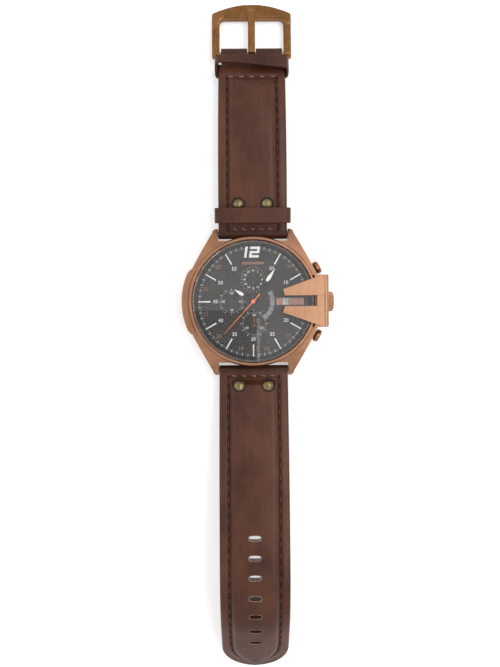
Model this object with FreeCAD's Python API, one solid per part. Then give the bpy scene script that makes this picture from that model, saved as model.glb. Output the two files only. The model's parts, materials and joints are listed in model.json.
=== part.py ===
# Chronograph wristwatch on a padded leather strap.
#
# Frame: origin at the centre of the case back's outer face, +Z towards the
# dial, +Y towards 12 o'clock, +X towards the crown. Units are millimetres.
# The watch lies on a table at z = 0: case back, buckle and tail tip touch it.
import FreeCAD, Part
import math
import os
from FreeCAD import Matrix, Placement, Rotation, Vector as V

# ------------------------------------------------------------ named clearances
RUN = 0.05              # radial clearance of an arbor or shaft that turns
PIN_RUN = 0.10          # radial clearance of a bar in leather
GAP = 0.25              # side clearance between pieces that move past each other
SEAT = 0.05             # clearance of a ring dropped into its seat

# ---------------------------------------------------------------- case stack
BACK_R = 20.5
BACK_T = 1.4
BACK_PLUG_R = 17.4
BACK_PLUG_T = 1.2
BACK_GASKET_W = 0.5
BACK_SCREW_PCD = 37.4
BACK_SCREW_COUNT = 4
BACK_SCREW_R = 0.6
BACK_SCREW_HEAD_R = 1.1
BACK_SCREW_HEAD_T = 0.7

CASE_R = 24.2           # body disc
CASE_BASE_R = 22.6      # body disc at the back
CASE_H = 8.2            # height of the case middle
CASE_FLANK_H = 6.0      # height over which the flank leans out
MOVEMENT_R = 20.6       # bore for the movement
DIAL_R = 21.9
DIAL_T = 0.4
DIAL_BELOW_TOP = 1.6    # dial underside below the top of the case middle
BULGE_R = CASE_R + 2.3          # brushed crescent on the side away from the crown
BULGE_HALF_Y = 10.8
BULGE_UNDER = 2.1       # underside of the crescent above the case base
BULGE_RISE = 1.2        # how far the crescent rises beside the bezel

LUG_SPAN_Y = 27.5       # lug tips from the centre
LUG_TIP_HALF_X = 15.3
LUG_ROOT_X = 23.0
LUG_ROOT_Y = 11.5
LUG_WAIST_X = 23.6
LUG_TIP_TOP = 4.1       # top of the lug tip above the case base
LUG_TIP_BASE = 0.9      # underside of the lug tip above the case base
LUG_SHOULDER_Y = 18.0
STRAP_W_LUG = 26.0      # strap width at the lugs, a standard size
STRAP_GAP_R = 23.4      # radius of the case between the lugs
STRAP_WALL_Y = 22.7     # straight wall of the case behind the strap's end

BEZEL_R = 24.0
BEZEL_H = 2.6
BEZEL_LEDGE_R = 21.9
BEZEL_LEDGE_H = 0.8
BEZEL_CHAMFER = 0.9
CRYSTAL_R = 22.3
CRYSTAL_T = 1.9
GASKET_W = 0.3
FLANGE_LOW_R = 20.6
FLANGE_TOP_R = 21.5

# --------------------------------------------------------------- crown guard
CLAW_TIP_X = 10.8
CLAW_TIP_INNER_X = 11.5
CLAW_TIP_Y = 4.2
CLAW_BASE_Y = 9.3
CLAW_SLOT_HALF = 1.95
CLAW_T = 1.4
CLAW_OVER_CRYSTAL = 0.2
GUARD_SPLIT_X = CASE_R + 1.7    # groove between the claws and the outer skirt
GUARD_OUTER_X = CASE_R + 3.2
GUARD_HALF_Y = 9.6
GUARD_WING_Y = 4.2      # the wings come down beyond this distance from the crown
GUARD_WING_Z = 5.0
GUARD_CHAMFER = 0.7
GUARD_GROOVE_W = 0.2
GUARD_GROOVE_D = 0.6
BRIDGE_INNER_X = CASE_R - 1.0
GUARD_SCREW_Y = 7.0
GUARD_SCREW_Z = CASE_H - 1.0
GUARD_SCREW_R = 0.6
GUARD_SCREW_HEAD_R = 1.15
GUARD_SCREW_HEAD_T = 0.6
GUARD_SCREW_END_X = 21.3
GUARD_PIN_R = 0.45

# -------------------------------------------------------- crown and pushers
STEM_Z = CASE_H - 2.8
STEM_R = 0.5
STEM_IN_X = 10.2
CROWN_R = 3.7
CROWN_X = CASE_R + 1.8
CROWN_T = 4.0
CROWN_RECESS_R = 2.2
CROWN_RECESS_T = 2.0
CROWN_FLUTES = 30
CROWN_FLUTE_D = 0.22
CROWN_PULL = 1.2
CROWN_TUBE_R = 1.5
CROWN_TUBE_OUT_X = CASE_R + 2.6
STEM_GROOVE_X = 15.2
STEM_GROOVE_W = 0.6
STEM_GROOVE_R = 0.32
LEVER_T = 0.5
SLIDING_PINION_R = 1.1
SLIDING_PINION_X = 10.6
SLIDING_PINION_L = 2.0
SLIDING_PINION_TEETH = 12

PUSHER_ANGLE = 28.0
PUSHER_CAP_R = 2.4
PUSHER_CAP_IN = CASE_R + 2.1
PUSHER_CAP_T = 1.9
PUSHER_NECK_R = 1.1
PUSHER_SEAT = CASE_R + 0.2
PUSHER_TUBE_R = 1.6
PUSHER_TRAVEL = 1.0
PUSHER_COLLAR_R = 1.5
PUSHER_COLLAR_T = 0.35
SPRING_WIRE_R = 0.13
SPRING_R = 1.45
SPRING_TURNS = 3.0

# ------------------------------------------------------------------ movement
HOLDER_IN_R = 17.2
PLATE_R = 17.0
PLATE_T = 1.7
PLATE_BELOW_DIAL = 2.0
DATE_RING_R = 14.1
DATE_RING_IN_R = 10.9
DATE_RING_T = 0.3
DATE_RING_BELOW_DIAL = 0.4
DATE_RIM_R = 15.0
DATE_LEDGE_W = 0.3
BRIDGE_R = 6.3
BRIDGE_T = 0.35
BRIDGE_DEPTH = 1.4      # underside of the train bridge below the main plate
BRIDGE_PILLAR_R = 0.6
ARBOR_R = 0.3
FINE_ARBOR_R = 0.15
SECONDS_ARBOR_R = 0.22
CANNON_R = 0.55
HOUR_PIPE_R = 0.9
DIAL_HOLE_R = 1.05
SUB_HOLE_R = 0.45
BATTERY_R = 4.75
BATTERY_T = 2.6
BATTERY_POS = (7.2, -9.0)
BATTERY_GAP = 0.2
BOARD_T = 0.4
BOARD_R = 16.4
BOARD_IN_R = 6.6
CAN_R = 0.55
CAN_L = 5.0
COIL_R = 0.75
COIL_L = 7.0
STATOR_T = 0.4
ROTOR_MAGNET_R = 0.7
ROTOR_GAP = 0.15

# Motion work: the minute wheel runs once for three turns of the cannon pinion,
# and its pinion drives the hour wheel and the 24-hour wheel.
CANNON_TEETH = 12
MINUTE_WHEEL_TEETH = 36
MINUTE_WHEEL_PITCH_R = 2.5
MINUTE_PINION_TEETH = 10
HOUR_WHEEL_TEETH = 40
DAY_WHEEL_TEETH = 80
TOOTH_SLACK = 0.25      # share of the tooth thickness left as backlash
WHEEL_T = 0.2
# Running-seconds train: rotor pinion, intermediate wheel, seconds wheel.
SECONDS_TEETH = 60
INTER_PINION_TEETH = 12
INTER_TEETH = 48
ROTOR_TEETH = 8
SECONDS_MODULE = 0.1
INTER_ANGLE = 200.0
ROTOR_ANGLE = 250.0

# ---------------------------------------------------------------------- dial
SUB_TWELVE = (0.0, 8.2)
SUB_NINE = (-8.0, 0.0)
SUB_SIX = (0.3, -8.2)
SUB_TWELVE_R = 4.9
SUB_NINE_R = 5.0
SUB_SIX_R = 5.4
SUB_DEPTH = 0.15
MARKER_IN_R = 15.9
MARKER_OUT_R = 20.4
MARKER_W = 0.55
MARKER_T = 0.35
NUMERAL_H = 4.0
NUMERAL_Y = 16.3
NUMERAL_STROKE = 0.85
NUMERAL_SLANT = 0.14
DATE_X = 12.2           # centre of the date window
DATE_HALF_X = 1.0
DATE_HALF_Y = 1.0
DATE_STRIP_IN_X = 8.6
DATE_STRIP_OUT_X = 18.8
DATE_STRIP_HALF_Y = 1.3
DATE_STRIP_T = 0.1

# --------------------------------------------------------------------- hands
HAND_T = 0.2
HOUR_HAND_L = 8.6
HOUR_HAND_W = 1.6
HOUR_HAND_WAIST = 4.2
HOUR_HAND_ANGLE = 302.8     # clockwise from 12
HOUR_HAND_LIFT = 0.55       # underside above the dial face
MINUTE_HAND_L = 15.0
MINUTE_HAND_W = 2.0
MINUTE_HAND_WAIST = 8.8
MINUTE_HAND_ANGLE = 34.0
MINUTE_HAND_LIFT = 0.95
SECONDS_HAND_L = 16.1
SECONDS_HAND_TAIL = 3.8
SECONDS_HAND_ANGLE = 222.0
SECONDS_HAND_LIFT = 1.35
SECONDS_HUB_R = 0.76
SUB_HAND_T = 0.12
SUB_HAND_LIFT = 0.05
SUB_HAND_W = 0.42
SUB_HAND_TWELVE_L = 3.0
SUB_HAND_NINE_L = 3.4
SUB_HAND_SIX_L = 3.4
SUB_HAND_TAIL = 1.1

# --------------------------------------------------------------------- strap
BAR_FROM_TIP = 1.8      # spring bars, in from the lug tips
BAR_Y = LUG_SPAN_Y - BAR_FROM_TIP            # spring bars from the centre
BAR_Z = 4.2
BAR_R = 0.9
BAR_TIP_R = 0.45
BAR_TIP_REACH = 0.8
LUG_HOLE_R = 0.5
STRAP_W_END = 25.0
STRAP_HALF_T = 1.2      # lining and cover, half of it
PAD_RISE = 1.4          # padding above the cover
PAD_HALF_W = 9.0
PAD_START = 4.0
STRAP_LOOP_R = 1.8
UPPER_L = 69.0          # bar to bar along the buckle half
UPPER_R = 152.0         # its lengthwise curve
UPPER_PAD_L = 53.0
FOLD_L = 5.5            # narrow end folded round the buckle's bar
FOLD_R = 1.7
TAIL_RISE_L = 74.1      # tail half: gently arched part
TAIL_RISE_R = 400.0
TAIL_CURL_L = 22.0      # then a tighter curl
TAIL_CURL_R = 34.0
TAIL_END_L = 23.0       # then straight to the tip
TAIL_PAD_L = 107.0
TIP_TAPER = 11.0
HOLE_COUNT = 7
HOLE_PITCH = 6.75
HOLE_L = 4.6
HOLE_W = 2.0
LAST_HOLE_FROM_TIP = 18.0

RIVET_HALF_X = 5.35
RIVET_UPPER_S = 10.9    # along the strap from the spring bar
RIVET_LOWER_S = 6.4
RIVET_HEAD_R = 2.2
RIVET_HEAD_T = 0.9
RIVET_SHANK_R = 0.7

KEEPER_T = 1.0
KEEPER_SIDE = 0.3       # gap beside the strap
KEEPER_FREE_W = 5.5
KEEPER_FREE_S = 6.9
KEEPER_FREE_CLEAR = 0.4     # above the rivets and below the lining
KEEPER_FIXED_W = 6.5
KEEPER_FIXED_TO_BAR = 2.7
KEEPER_FIXED_RISE = 4.2     # underside of its top band above the strap's middle

# -------------------------------------------------------------------- buckle
BUCKLE_BAR_Z = 3.0
BUCKLE_BAR_R = 0.8
BUCKLE_ARM_W = 2.9
BUCKLE_ARM_HALF_T = 1.3
BUCKLE_EYE_R = 1.75
BUCKLE_INNER_HALF = 12.1
BUCKLE_WINDOW_L = 13.6      # bar to the top bar's inner edge
BUCKLE_CORNER = 2.0         # softened inner corners of the window
BUCKLE_TOP_W = 1.7
BUCKLE_BOW = 3.6
BUCKLE_TOP_HALF_T = 1.45
FOLD_HALF_W = 11.85
TONGUE_W = 2.7
TONGUE_T = 1.2
TONGUE_EYE_R = 1.65
TONGUE_SHORT = 2.2          # tip from the bow's outer edge
TONGUE_SLOT_HALF = 1.65
TONGUE_SLOT_L = 4.2

# ----------------------------------------------------------- derived heights
CASE_Z0 = BACK_T
CASE_TOP = CASE_Z0 + CASE_H
PLUG_TOP = CASE_Z0 + BACK_PLUG_T
DIAL_Z0 = CASE_TOP - DIAL_BELOW_TOP
DIAL_TOP = DIAL_Z0 + DIAL_T
BEZEL_LEDGE_TOP = CASE_TOP + BEZEL_LEDGE_H
BEZEL_TOP = CASE_TOP + BEZEL_H
CRYSTAL_TOP = BEZEL_LEDGE_TOP + CRYSTAL_T
PLATE_TOP = DIAL_Z0 - PLATE_BELOW_DIAL
PLATE_Z0 = PLATE_TOP - PLATE_T
CLAW_Z0 = CRYSTAL_TOP + CLAW_OVER_CRYSTAL
CLAW_TOP = CLAW_Z0 + CLAW_T
LUG_HALF_GAP = STRAP_W_LUG / 2 + 0.2
STRAP_HALF_LUG = LUG_HALF_GAP - GAP
STRAP_HALF_END = STRAP_W_END / 2
SADDLE_R = max(CASE_R, BEZEL_R) + SEAT
BULGE_TOP = CASE_TOP + BULGE_RISE
PLATE_BRIDGE_Z0 = PLATE_Z0 - BRIDGE_DEPTH


# ------------------------------------------------------------------- helpers
def disc(r, z0, z1, x=0.0, y=0.0):
    """A round plate about a vertical line through (x, y)."""
    return Part.makeCylinder(r, z1 - z0, V(x, y, z0))


def ring(ro, ri, z0, z1, x=0.0, y=0.0):
    """A flat ring about a vertical line through (x, y)."""
    return disc(ro, z0, z1, x, y).cut(disc(ri, z0 - 1, z1 + 1, x, y))


def box(x0, x1, y0, y1, z0, z1):
    """A box between two corners."""
    return Part.makeBox(x1 - x0, y1 - y0, z1 - z0, V(x0, y0, z0))


def rod(p, q, r):
    """A round rod from p to q."""
    d = q.sub(p)
    return Part.makeCylinder(r, d.Length, p, d)


def fuse(shapes):
    """One solid from several that touch or overlap."""
    out = shapes[0]
    if len(shapes) > 1:
        out = out.fuse(shapes[1:]).removeSplitter()
    return out


def prism(points, z0, z1):
    """A plan outline, as (x, y) pairs, extruded from z0 to z1."""
    wire = Part.makePolygon([V(x, y, z0) for x, y in points] + [V(points[0][0], points[0][1], z0)])
    return Part.Face(wire).extrude(V(0, 0, z1 - z0))


def side_prism(points, x0, x1):
    """A side outline, as (y, z) pairs, extruded from x0 to x1."""
    wire = Part.makePolygon([V(x0, y, z) for y, z in points] + [V(x0, points[0][0], points[0][1])])
    return Part.Face(wire).extrude(V(x1 - x0, 0, 0))


def turned(profile, x=0.0, y=0.0):
    """A profile of (r, z) pairs turned about a vertical line through (x, y)."""
    wire = Part.makePolygon([V(x + r, y, z) for r, z in profile] + [V(x + profile[0][0], y, profile[0][1])])
    return Part.Face(wire).revolve(V(x, y, 0), V(0, 0, 1), 360)


def mirrored_x(shape):
    """The shape mirrored to the other side of the 12-6 line."""
    return shape.mirror(V(0, 0, 0), V(1, 0, 0))


def mirrored_y(shape):
    """The shape mirrored to the other side of the 3-9 line."""
    return shape.mirror(V(0, 0, 0), V(0, 1, 0))


def spun(shape, degrees, x=0.0, y=0.0):
    """The shape turned clockwise, seen from above, about (x, y)."""
    out = shape.copy()
    out.rotate(V(x, y, 0), V(0, 0, 1), -degrees)
    return out


def gear(teeth, pitch_r, z0, z1, x=0.0, y=0.0, phase=0.0, add=0.85, ded=1.2):
    """A spur gear with straight-sided teeth and backlash.

    Phase is the direction, in degrees from +X, in which one tooth points.
    """
    m = 2 * pitch_r / teeth
    rt, rr = pitch_r + add * m, pitch_r - ded * m
    half = math.pi / (2 * teeth) * (1 - TOOTH_SLACK)
    lean = math.tan(math.radians(20.0))
    tip = half - lean * add * m / rt
    root = min(half + lean * ded * m / rr, 0.98 * math.pi / teeth)
    points = []
    for k in range(teeth):
        c = 2 * math.pi * k / teeth + math.radians(phase)
        for r, a in ((rr, c - root), (rt, c - tip), (rt, c + tip), (rr, c + root)):
            points.append((x + r * math.cos(a), y + r * math.sin(a)))
    return prism(points, z0, z1)


def mesh_phase(driver_phase, driver_teeth, teeth, bearing):
    """The phase at which a gear meshes with a driver.

    Bearing is the direction from the driver's centre to the gear's.
    """
    off = (bearing - driver_phase) * driver_teeth / teeth
    return bearing + 180.0 + off + 180.0 / teeth


def polar(r, degrees):
    """A point in plan at radius r and angle from +X."""
    a = math.radians(degrees)
    return r * math.cos(a), r * math.sin(a)


def safe_chamfer(shape, size, pick):
    """A chamfer on the edges that pick chooses."""
    edges = [e for e in shape.Edges if pick(e)]
    return shape.makeChamfer(size, edges) if edges else shape


class SidePath:
    """Side-view middle line of one strap half, as arcs from its spring bar.

    It is written in (u, z), with u outwards from the watch's centre. Each
    segment is (length, radius), and a radius of 0 is straight. Arcs bend down.
    """

    def __init__(self, sign, start_u, start_z, slope, segments):
        self.sign = sign
        self.start = (start_u, start_z)
        self.slope = slope
        self.segments = segments
        self.length = sum(s[0] for s in segments)

    def at(self, s, lift=0.0):
        """The point at length s, lifted off the line, and the slope there."""
        u, z = self.start
        a = self.slope
        left = s
        for k, (length, radius) in enumerate(self.segments):
            step = left if k == len(self.segments) - 1 else min(left, length)
            if radius:
                b = a - step / radius
                u += radius * (math.sin(a) - math.sin(b))
                z += radius * (math.cos(b) - math.cos(a))
                a = b
            else:
                u += step * math.cos(a)
                z += step * math.sin(a)
            left -= step
            if left <= 1e-9:
                break
        u -= lift * math.sin(a)
        z += lift * math.cos(a)
        return V(0, self.sign * u, z), a

    def band(self, s0, s1, low, high, x0, x1):
        """A solid that follows the line from s0 to s1 between two lifts."""
        cuts = [s0]
        total = 0.0
        for length, _ in self.segments:
            total += length
            if s0 + 0.01 < total < s1 - 0.01:
                cuts.append(total)
        cuts.append(s1)

        def run(lift):
            edges = []
            for a, b in zip(cuts, cuts[1:]):
                p, m, q = (self.at(t, lift)[0] for t in (a, (a + b) / 2, b))
                chord = q.sub(p)
                if chord.cross(m.sub(p)).Length < 1e-7 * chord.Length:
                    edges.append(Part.makeLine(p, q))
                else:
                    edges.append(Part.Arc(p, m, q).toShape())
            return edges

        low_edges, high_edges = run(low), run(high)
        ends = [Part.makeLine(self.at(s, low)[0], self.at(s, high)[0]) for s in (s0, s1)]
        wire = Part.Wire(Part.__sortEdges__(low_edges + high_edges + ends))
        solid = Part.Face(wire).extrude(V(x1 - x0, 0, 0))
        solid.translate(V(x0, 0, 0))
        return solid

    def place(self, shape, s):
        """A shape made about the origin, set on the line with +Z as its normal."""
        point, a = self.at(s)
        out = shape.copy()
        out.rotate(V(0, 0, 0), V(1, 0, 0), math.degrees(a) * self.sign)
        out.translate(point)
        return out


PARTS = {}


def keep(name, shape):
    """Register one finished piece after checking that it is sound."""
    solids = shape.Solids
    if not solids or not shape.isValid():
        raise ValueError(f"{name}: not a sound solid")
    PARTS[name] = shape if len(solids) > 1 else solids[0]


# ----------------------------------------------------------------- case back
def make_back():
    """Case back with its plug, gasket and screws."""
    plate = safe_chamfer(disc(BACK_R, 0, BACK_T), 0.4,
                         lambda e: e.BoundBox.ZMax < 1e-6 and e.BoundBox.XLength > BACK_R)
    plug = disc(BACK_PLUG_R, BACK_T, PLUG_TOP)
    back = fuse([plate, plug])
    g0, g1 = BACK_T + 0.35, BACK_T + 0.35 + BACK_GASKET_W
    groove_r = BACK_PLUG_R - BACK_GASKET_W
    back = back.cut(ring(BACK_PLUG_R + 0.5, groove_r, g0, g1))
    gasket = ring(BACK_PLUG_R + 2 * SEAT, groove_r, g0, g1)
    screws = []
    for k in range(BACK_SCREW_COUNT):
        x, y = polar(BACK_SCREW_PCD / 2, 45 + 360 / BACK_SCREW_COUNT * k)
        head = disc(BACK_SCREW_HEAD_R, 0.02, BACK_SCREW_HEAD_T, x, y)
        shank = disc(BACK_SCREW_R, BACK_SCREW_HEAD_T, PLUG_TOP, x, y)
        back = back.cut(disc(BACK_SCREW_HEAD_R, -1, BACK_SCREW_HEAD_T, x, y))
        back = back.cut(disc(BACK_SCREW_R, 0, BACK_T + 0.1, x, y))
        screw = fuse([head, shank])
        screws.append(screw.cut(box(x - 0.9, x + 0.9, y - 0.13, y + 0.13, -1, 0.32)))
    keep("case_back", back)
    keep("case_back_gasket", gasket)
    keep("case_back_screws", Part.makeCompound(screws))


# --------------------------------------------------------------- case middle
def radial_rod(r0, r1, radius, degrees, z):
    """A rod along a radius of the case."""
    x0, y0 = polar(r0, degrees)
    x1, y1 = polar(r1, degrees)
    return rod(V(x0, y0, z), V(x1, y1, z), radius)


def make_case():
    """Case middle with lugs, side crescent, bores and seats."""
    z0, top = CASE_Z0, CASE_TOP
    quarter = [(0, 0), (LUG_WAIST_X, 0), (LUG_WAIST_X, LUG_ROOT_Y * 0.87), (LUG_ROOT_X, LUG_ROOT_Y),
               (LUG_TIP_HALF_X, LUG_SPAN_Y - 1.7), (LUG_TIP_HALF_X - 0.2, LUG_SPAN_Y - 0.8),
              (LUG_TIP_HALF_X - 0.7, LUG_SPAN_Y - 0.25), (LUG_TIP_HALF_X - 1.35, LUG_SPAN_Y), (0, LUG_SPAN_Y)]
    plan = prism(quarter, z0, top)
    plan = fuse([plan, mirrored_x(plan)])
    plan = fuse([plan, mirrored_y(plan)])
    tip_top, tip_base = z0 + LUG_TIP_TOP, z0 + LUG_TIP_BASE
    half = [(0, z0), (LUG_SHOULDER_Y, z0), (LUG_SPAN_Y - 2.5, z0 + 0.35), (LUG_SPAN_Y + 0.1, tip_base),
            (LUG_SPAN_Y + 0.1, tip_top), (LUG_SPAN_Y - 4.2, tip_top + 2.3), (LUG_SHOULDER_Y, top - 0.3), (0, top + 0.5)]
    side = side_prism(half, -40, 40)
    plan = plan.common(fuse([side, mirrored_y(side)]))
    body = turned([(0, z0), (CASE_BASE_R, z0), (CASE_R, z0 + CASE_FLANK_H), (CASE_R, top), (0, top)])
    bulge_z0 = z0 + BULGE_UNDER
    wide = BULGE_R - 1.2
    bulge = turned([(MOVEMENT_R + 1, bulge_z0), (wide, bulge_z0), (BULGE_R, bulge_z0 + 2.2),
                    (BULGE_R, BULGE_TOP - 0.8), (BULGE_R - 0.8, BULGE_TOP),
                    (BEZEL_R + SEAT, BULGE_TOP), (BEZEL_R + SEAT, top), (MOVEMENT_R + 1, top)])
    ends = [(-10, BULGE_HALF_Y + 1.8), (-LUG_ROOT_X + 3, BULGE_HALF_Y + 1.8), (-LUG_ROOT_X, BULGE_HALF_Y + 1.1),
            (-LUG_ROOT_X - 1.4, BULGE_HALF_Y - 0.3), (-LUG_ROOT_X - 5, BULGE_HALF_Y - 3.9)]
    bulge = bulge.common(prism(ends + [(x, -y) for x, y in reversed(ends)], 0, 20))
    case = fuse([body, plan, bulge])
    # the gap for the strap between each pair of lugs
    slot = box(-LUG_HALF_GAP, LUG_HALF_GAP, STRAP_WALL_Y, 40, -5, 20).cut(disc(STRAP_GAP_R, -6, 21))
    case = case.cut(slot).cut(mirrored_y(slot))
    # bores and seats
    case = case.cut(disc(BACK_PLUG_R + 2 * SEAT, z0 - 1, PLUG_TOP))
    case = case.cut(disc(MOVEMENT_R, PLUG_TOP, DIAL_Z0))
    case = case.cut(disc(DIAL_R + 2 * SEAT, DIAL_Z0, top + 1))
    for k in range(BACK_SCREW_COUNT):
        x, y = polar(BACK_SCREW_PCD / 2, 45 + 360 / BACK_SCREW_COUNT * k)
        case = case.cut(disc(BACK_SCREW_R, z0 - 1, PLUG_TOP + 0.1, x, y))
    reach = LUG_HALF_GAP + BAR_TIP_REACH + 0.2
    for y in (BAR_Y, -BAR_Y):
        case = case.cut(rod(V(-reach, y, BAR_Z), V(reach, y, BAR_Z), LUG_HOLE_R))
    case = case.cut(rod(V(MOVEMENT_R - 2, 0, STEM_Z), V(30, 0, STEM_Z), CROWN_TUBE_R))
    for a in (PUSHER_ANGLE, -PUSHER_ANGLE):
        case = case.cut(radial_rod(MOVEMENT_R - 2, 30, PUSHER_TUBE_R, a, STEM_Z))
        case = case.cut(radial_rod(PUSHER_SEAT, 32, PUSHER_CAP_R + GAP, a, STEM_Z))
    for y in (GUARD_SCREW_Y, -GUARD_SCREW_Y):
        case = case.cut(rod(V(GUARD_SCREW_END_X, y, GUARD_SCREW_Z), V(30, y, GUARD_SCREW_Z), GUARD_SCREW_R))
    keep("case_middle", case)


def make_top():
    """Bezel, crystal, its gasket and the inner flange."""
    c = BEZEL_CHAMFER
    gasket_r = CRYSTAL_R + GASKET_W
    bezel = turned([(gasket_r, BEZEL_LEDGE_TOP), (BEZEL_LEDGE_R, BEZEL_LEDGE_TOP), (BEZEL_LEDGE_R, CASE_TOP),
                    (BEZEL_R, CASE_TOP), (BEZEL_R, BEZEL_TOP - c), (BEZEL_R - c * 0.6, BEZEL_TOP),
                    (gasket_r, BEZEL_TOP)])
    crystal = turned([(0, BEZEL_LEDGE_TOP), (CRYSTAL_R, BEZEL_LEDGE_TOP), (CRYSTAL_R, CRYSTAL_TOP - 0.25),
                      (CRYSTAL_R - 0.25, CRYSTAL_TOP), (0, CRYSTAL_TOP)])
    gasket = ring(gasket_r, CRYSTAL_R, BEZEL_LEDGE_TOP, BEZEL_TOP - 0.3)
    out_r = BEZEL_LEDGE_R - SEAT
    flange = turned([(FLANGE_LOW_R, DIAL_TOP), (out_r, DIAL_TOP), (out_r, BEZEL_LEDGE_TOP - SEAT),
                     (FLANGE_TOP_R, BEZEL_LEDGE_TOP - SEAT)])
    keep("bezel", bezel)
    keep("crystal", crystal)
    keep("crystal_gasket", gasket)
    keep("inner_flange", flange)


# --------------------------------------------------------------- crown guard
def make_guard():
    """Two claws over the crystal, the bridge and skirt over the crown, fasteners."""
    cs = GUARD_CHAMFER
    claw = prism([(CLAW_TIP_X, CLAW_TIP_Y), (CLAW_TIP_INNER_X, CLAW_SLOT_HALF), (GUARD_SPLIT_X, CLAW_SLOT_HALF),
                  (GUARD_SPLIT_X, GUARD_HALF_Y - 0.2), (GUARD_SPLIT_X - 0.9, CLAW_BASE_Y)], CLAW_Z0, CLAW_TOP)
    wing = side_prism([(GUARD_WING_Y, GUARD_WING_Z + 1.5), (GUARD_WING_Y + 1.5, GUARD_WING_Z),
                       (GUARD_HALF_Y - 1.2, GUARD_WING_Z), (GUARD_HALF_Y, GUARD_WING_Z + 2.0),
                       (GUARD_HALF_Y, CLAW_TOP - 1.6), (GUARD_HALF_Y - 0.6, CLAW_TOP),
                       (GUARD_WING_Y, CLAW_TOP)], 18, GUARD_OUTER_X)
    wing = wing.cut(disc(SADDLE_R, 0, CLAW_Z0)).cut(box(0, LUG_WAIST_X + SEAT, -40, 40, 0, CASE_TOP))
    wing = wing.cut(box(0, GUARD_SPLIT_X - 0.01, 0, 40, CLAW_Z0 - 0.001, 40))
    # the outer top edge leans in
    lean = prism([(GUARD_OUTER_X - cs, -40), (GUARD_OUTER_X + 5, -40), (GUARD_OUTER_X + 5, 40), (GUARD_OUTER_X - cs, 40)], 0, 5)
    lean.rotate(V(GUARD_OUTER_X - cs, 0, 0), V(0, 1, 0), 35)
    lean.translate(V(0, 0, CLAW_TOP))
    wing = wing.cut(lean)
    groove_z = CLAW_TOP - GUARD_GROOVE_D
    groove = box(GUARD_SPLIT_X, GUARD_SPLIT_X + GUARD_GROOVE_W, -40, 40, groove_z, CLAW_TOP + 1)
    upper = fuse([claw, wing]).cut(groove)
    pin_z = (CLAW_Z0 + CLAW_TOP) / 2 - GUARD_GROOVE_D
    pin_x = (GUARD_SPLIT_X + GUARD_OUTER_X) / 2
    pin_l = GUARD_HALF_Y - 1.6
    upper = upper.cut(rod(V(pin_x, 0, pin_z), V(pin_x, pin_l, pin_z), GUARD_PIN_R))
    upper = upper.cut(rod(V(0, GUARD_SCREW_Y, GUARD_SCREW_Z), V(40, GUARD_SCREW_Y, GUARD_SCREW_Z), GUARD_SCREW_R))
    head_x = GUARD_OUTER_X - GUARD_SCREW_HEAD_T
    upper = upper.cut(rod(V(head_x, GUARD_SCREW_Y, GUARD_SCREW_Z), V(40, GUARD_SCREW_Y, GUARD_SCREW_Z), GUARD_SCREW_HEAD_R))
    keep("crown_guard_upper", upper)
    keep("crown_guard_lower", mirrored_y(upper))

    skirt_z0 = STEM_Z + CROWN_R + 0.35
    half = CLAW_SLOT_HALF
    block = box(BRIDGE_INNER_X, GUARD_SPLIT_X, -half, half, CLAW_Z0, CLAW_TOP - 0.15)
    skirt = box(GUARD_SPLIT_X, GUARD_OUTER_X, -GUARD_WING_Y, GUARD_WING_Y, skirt_z0, CLAW_TOP).cut(lean)
    bridge = fuse([block, skirt]).cut(groove)
    bridge = bridge.cut(rod(V(pin_x, -pin_l, pin_z), V(pin_x, pin_l, pin_z), GUARD_PIN_R))
    keep("crown_guard_bridge", bridge)

    fasteners = [rod(V(pin_x, -pin_l, pin_z), V(pin_x, pin_l, pin_z), GUARD_PIN_R)]
    for y in (GUARD_SCREW_Y, -GUARD_SCREW_Y):
        shank = rod(V(GUARD_SCREW_END_X, y, GUARD_SCREW_Z), V(head_x, y, GUARD_SCREW_Z), GUARD_SCREW_R)
        head = rod(V(head_x, y, GUARD_SCREW_Z), V(GUARD_OUTER_X - 0.05, y, GUARD_SCREW_Z), GUARD_SCREW_HEAD_R)
        screw = fuse([shank, head])
        fasteners.append(screw.cut(box(GUARD_OUTER_X - 0.35, 40, y - 0.85, y + 0.85, GUARD_SCREW_Z - 0.13, GUARD_SCREW_Z + 0.13)))
    keep("guard_fasteners", Part.makeCompound(fasteners))


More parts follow.
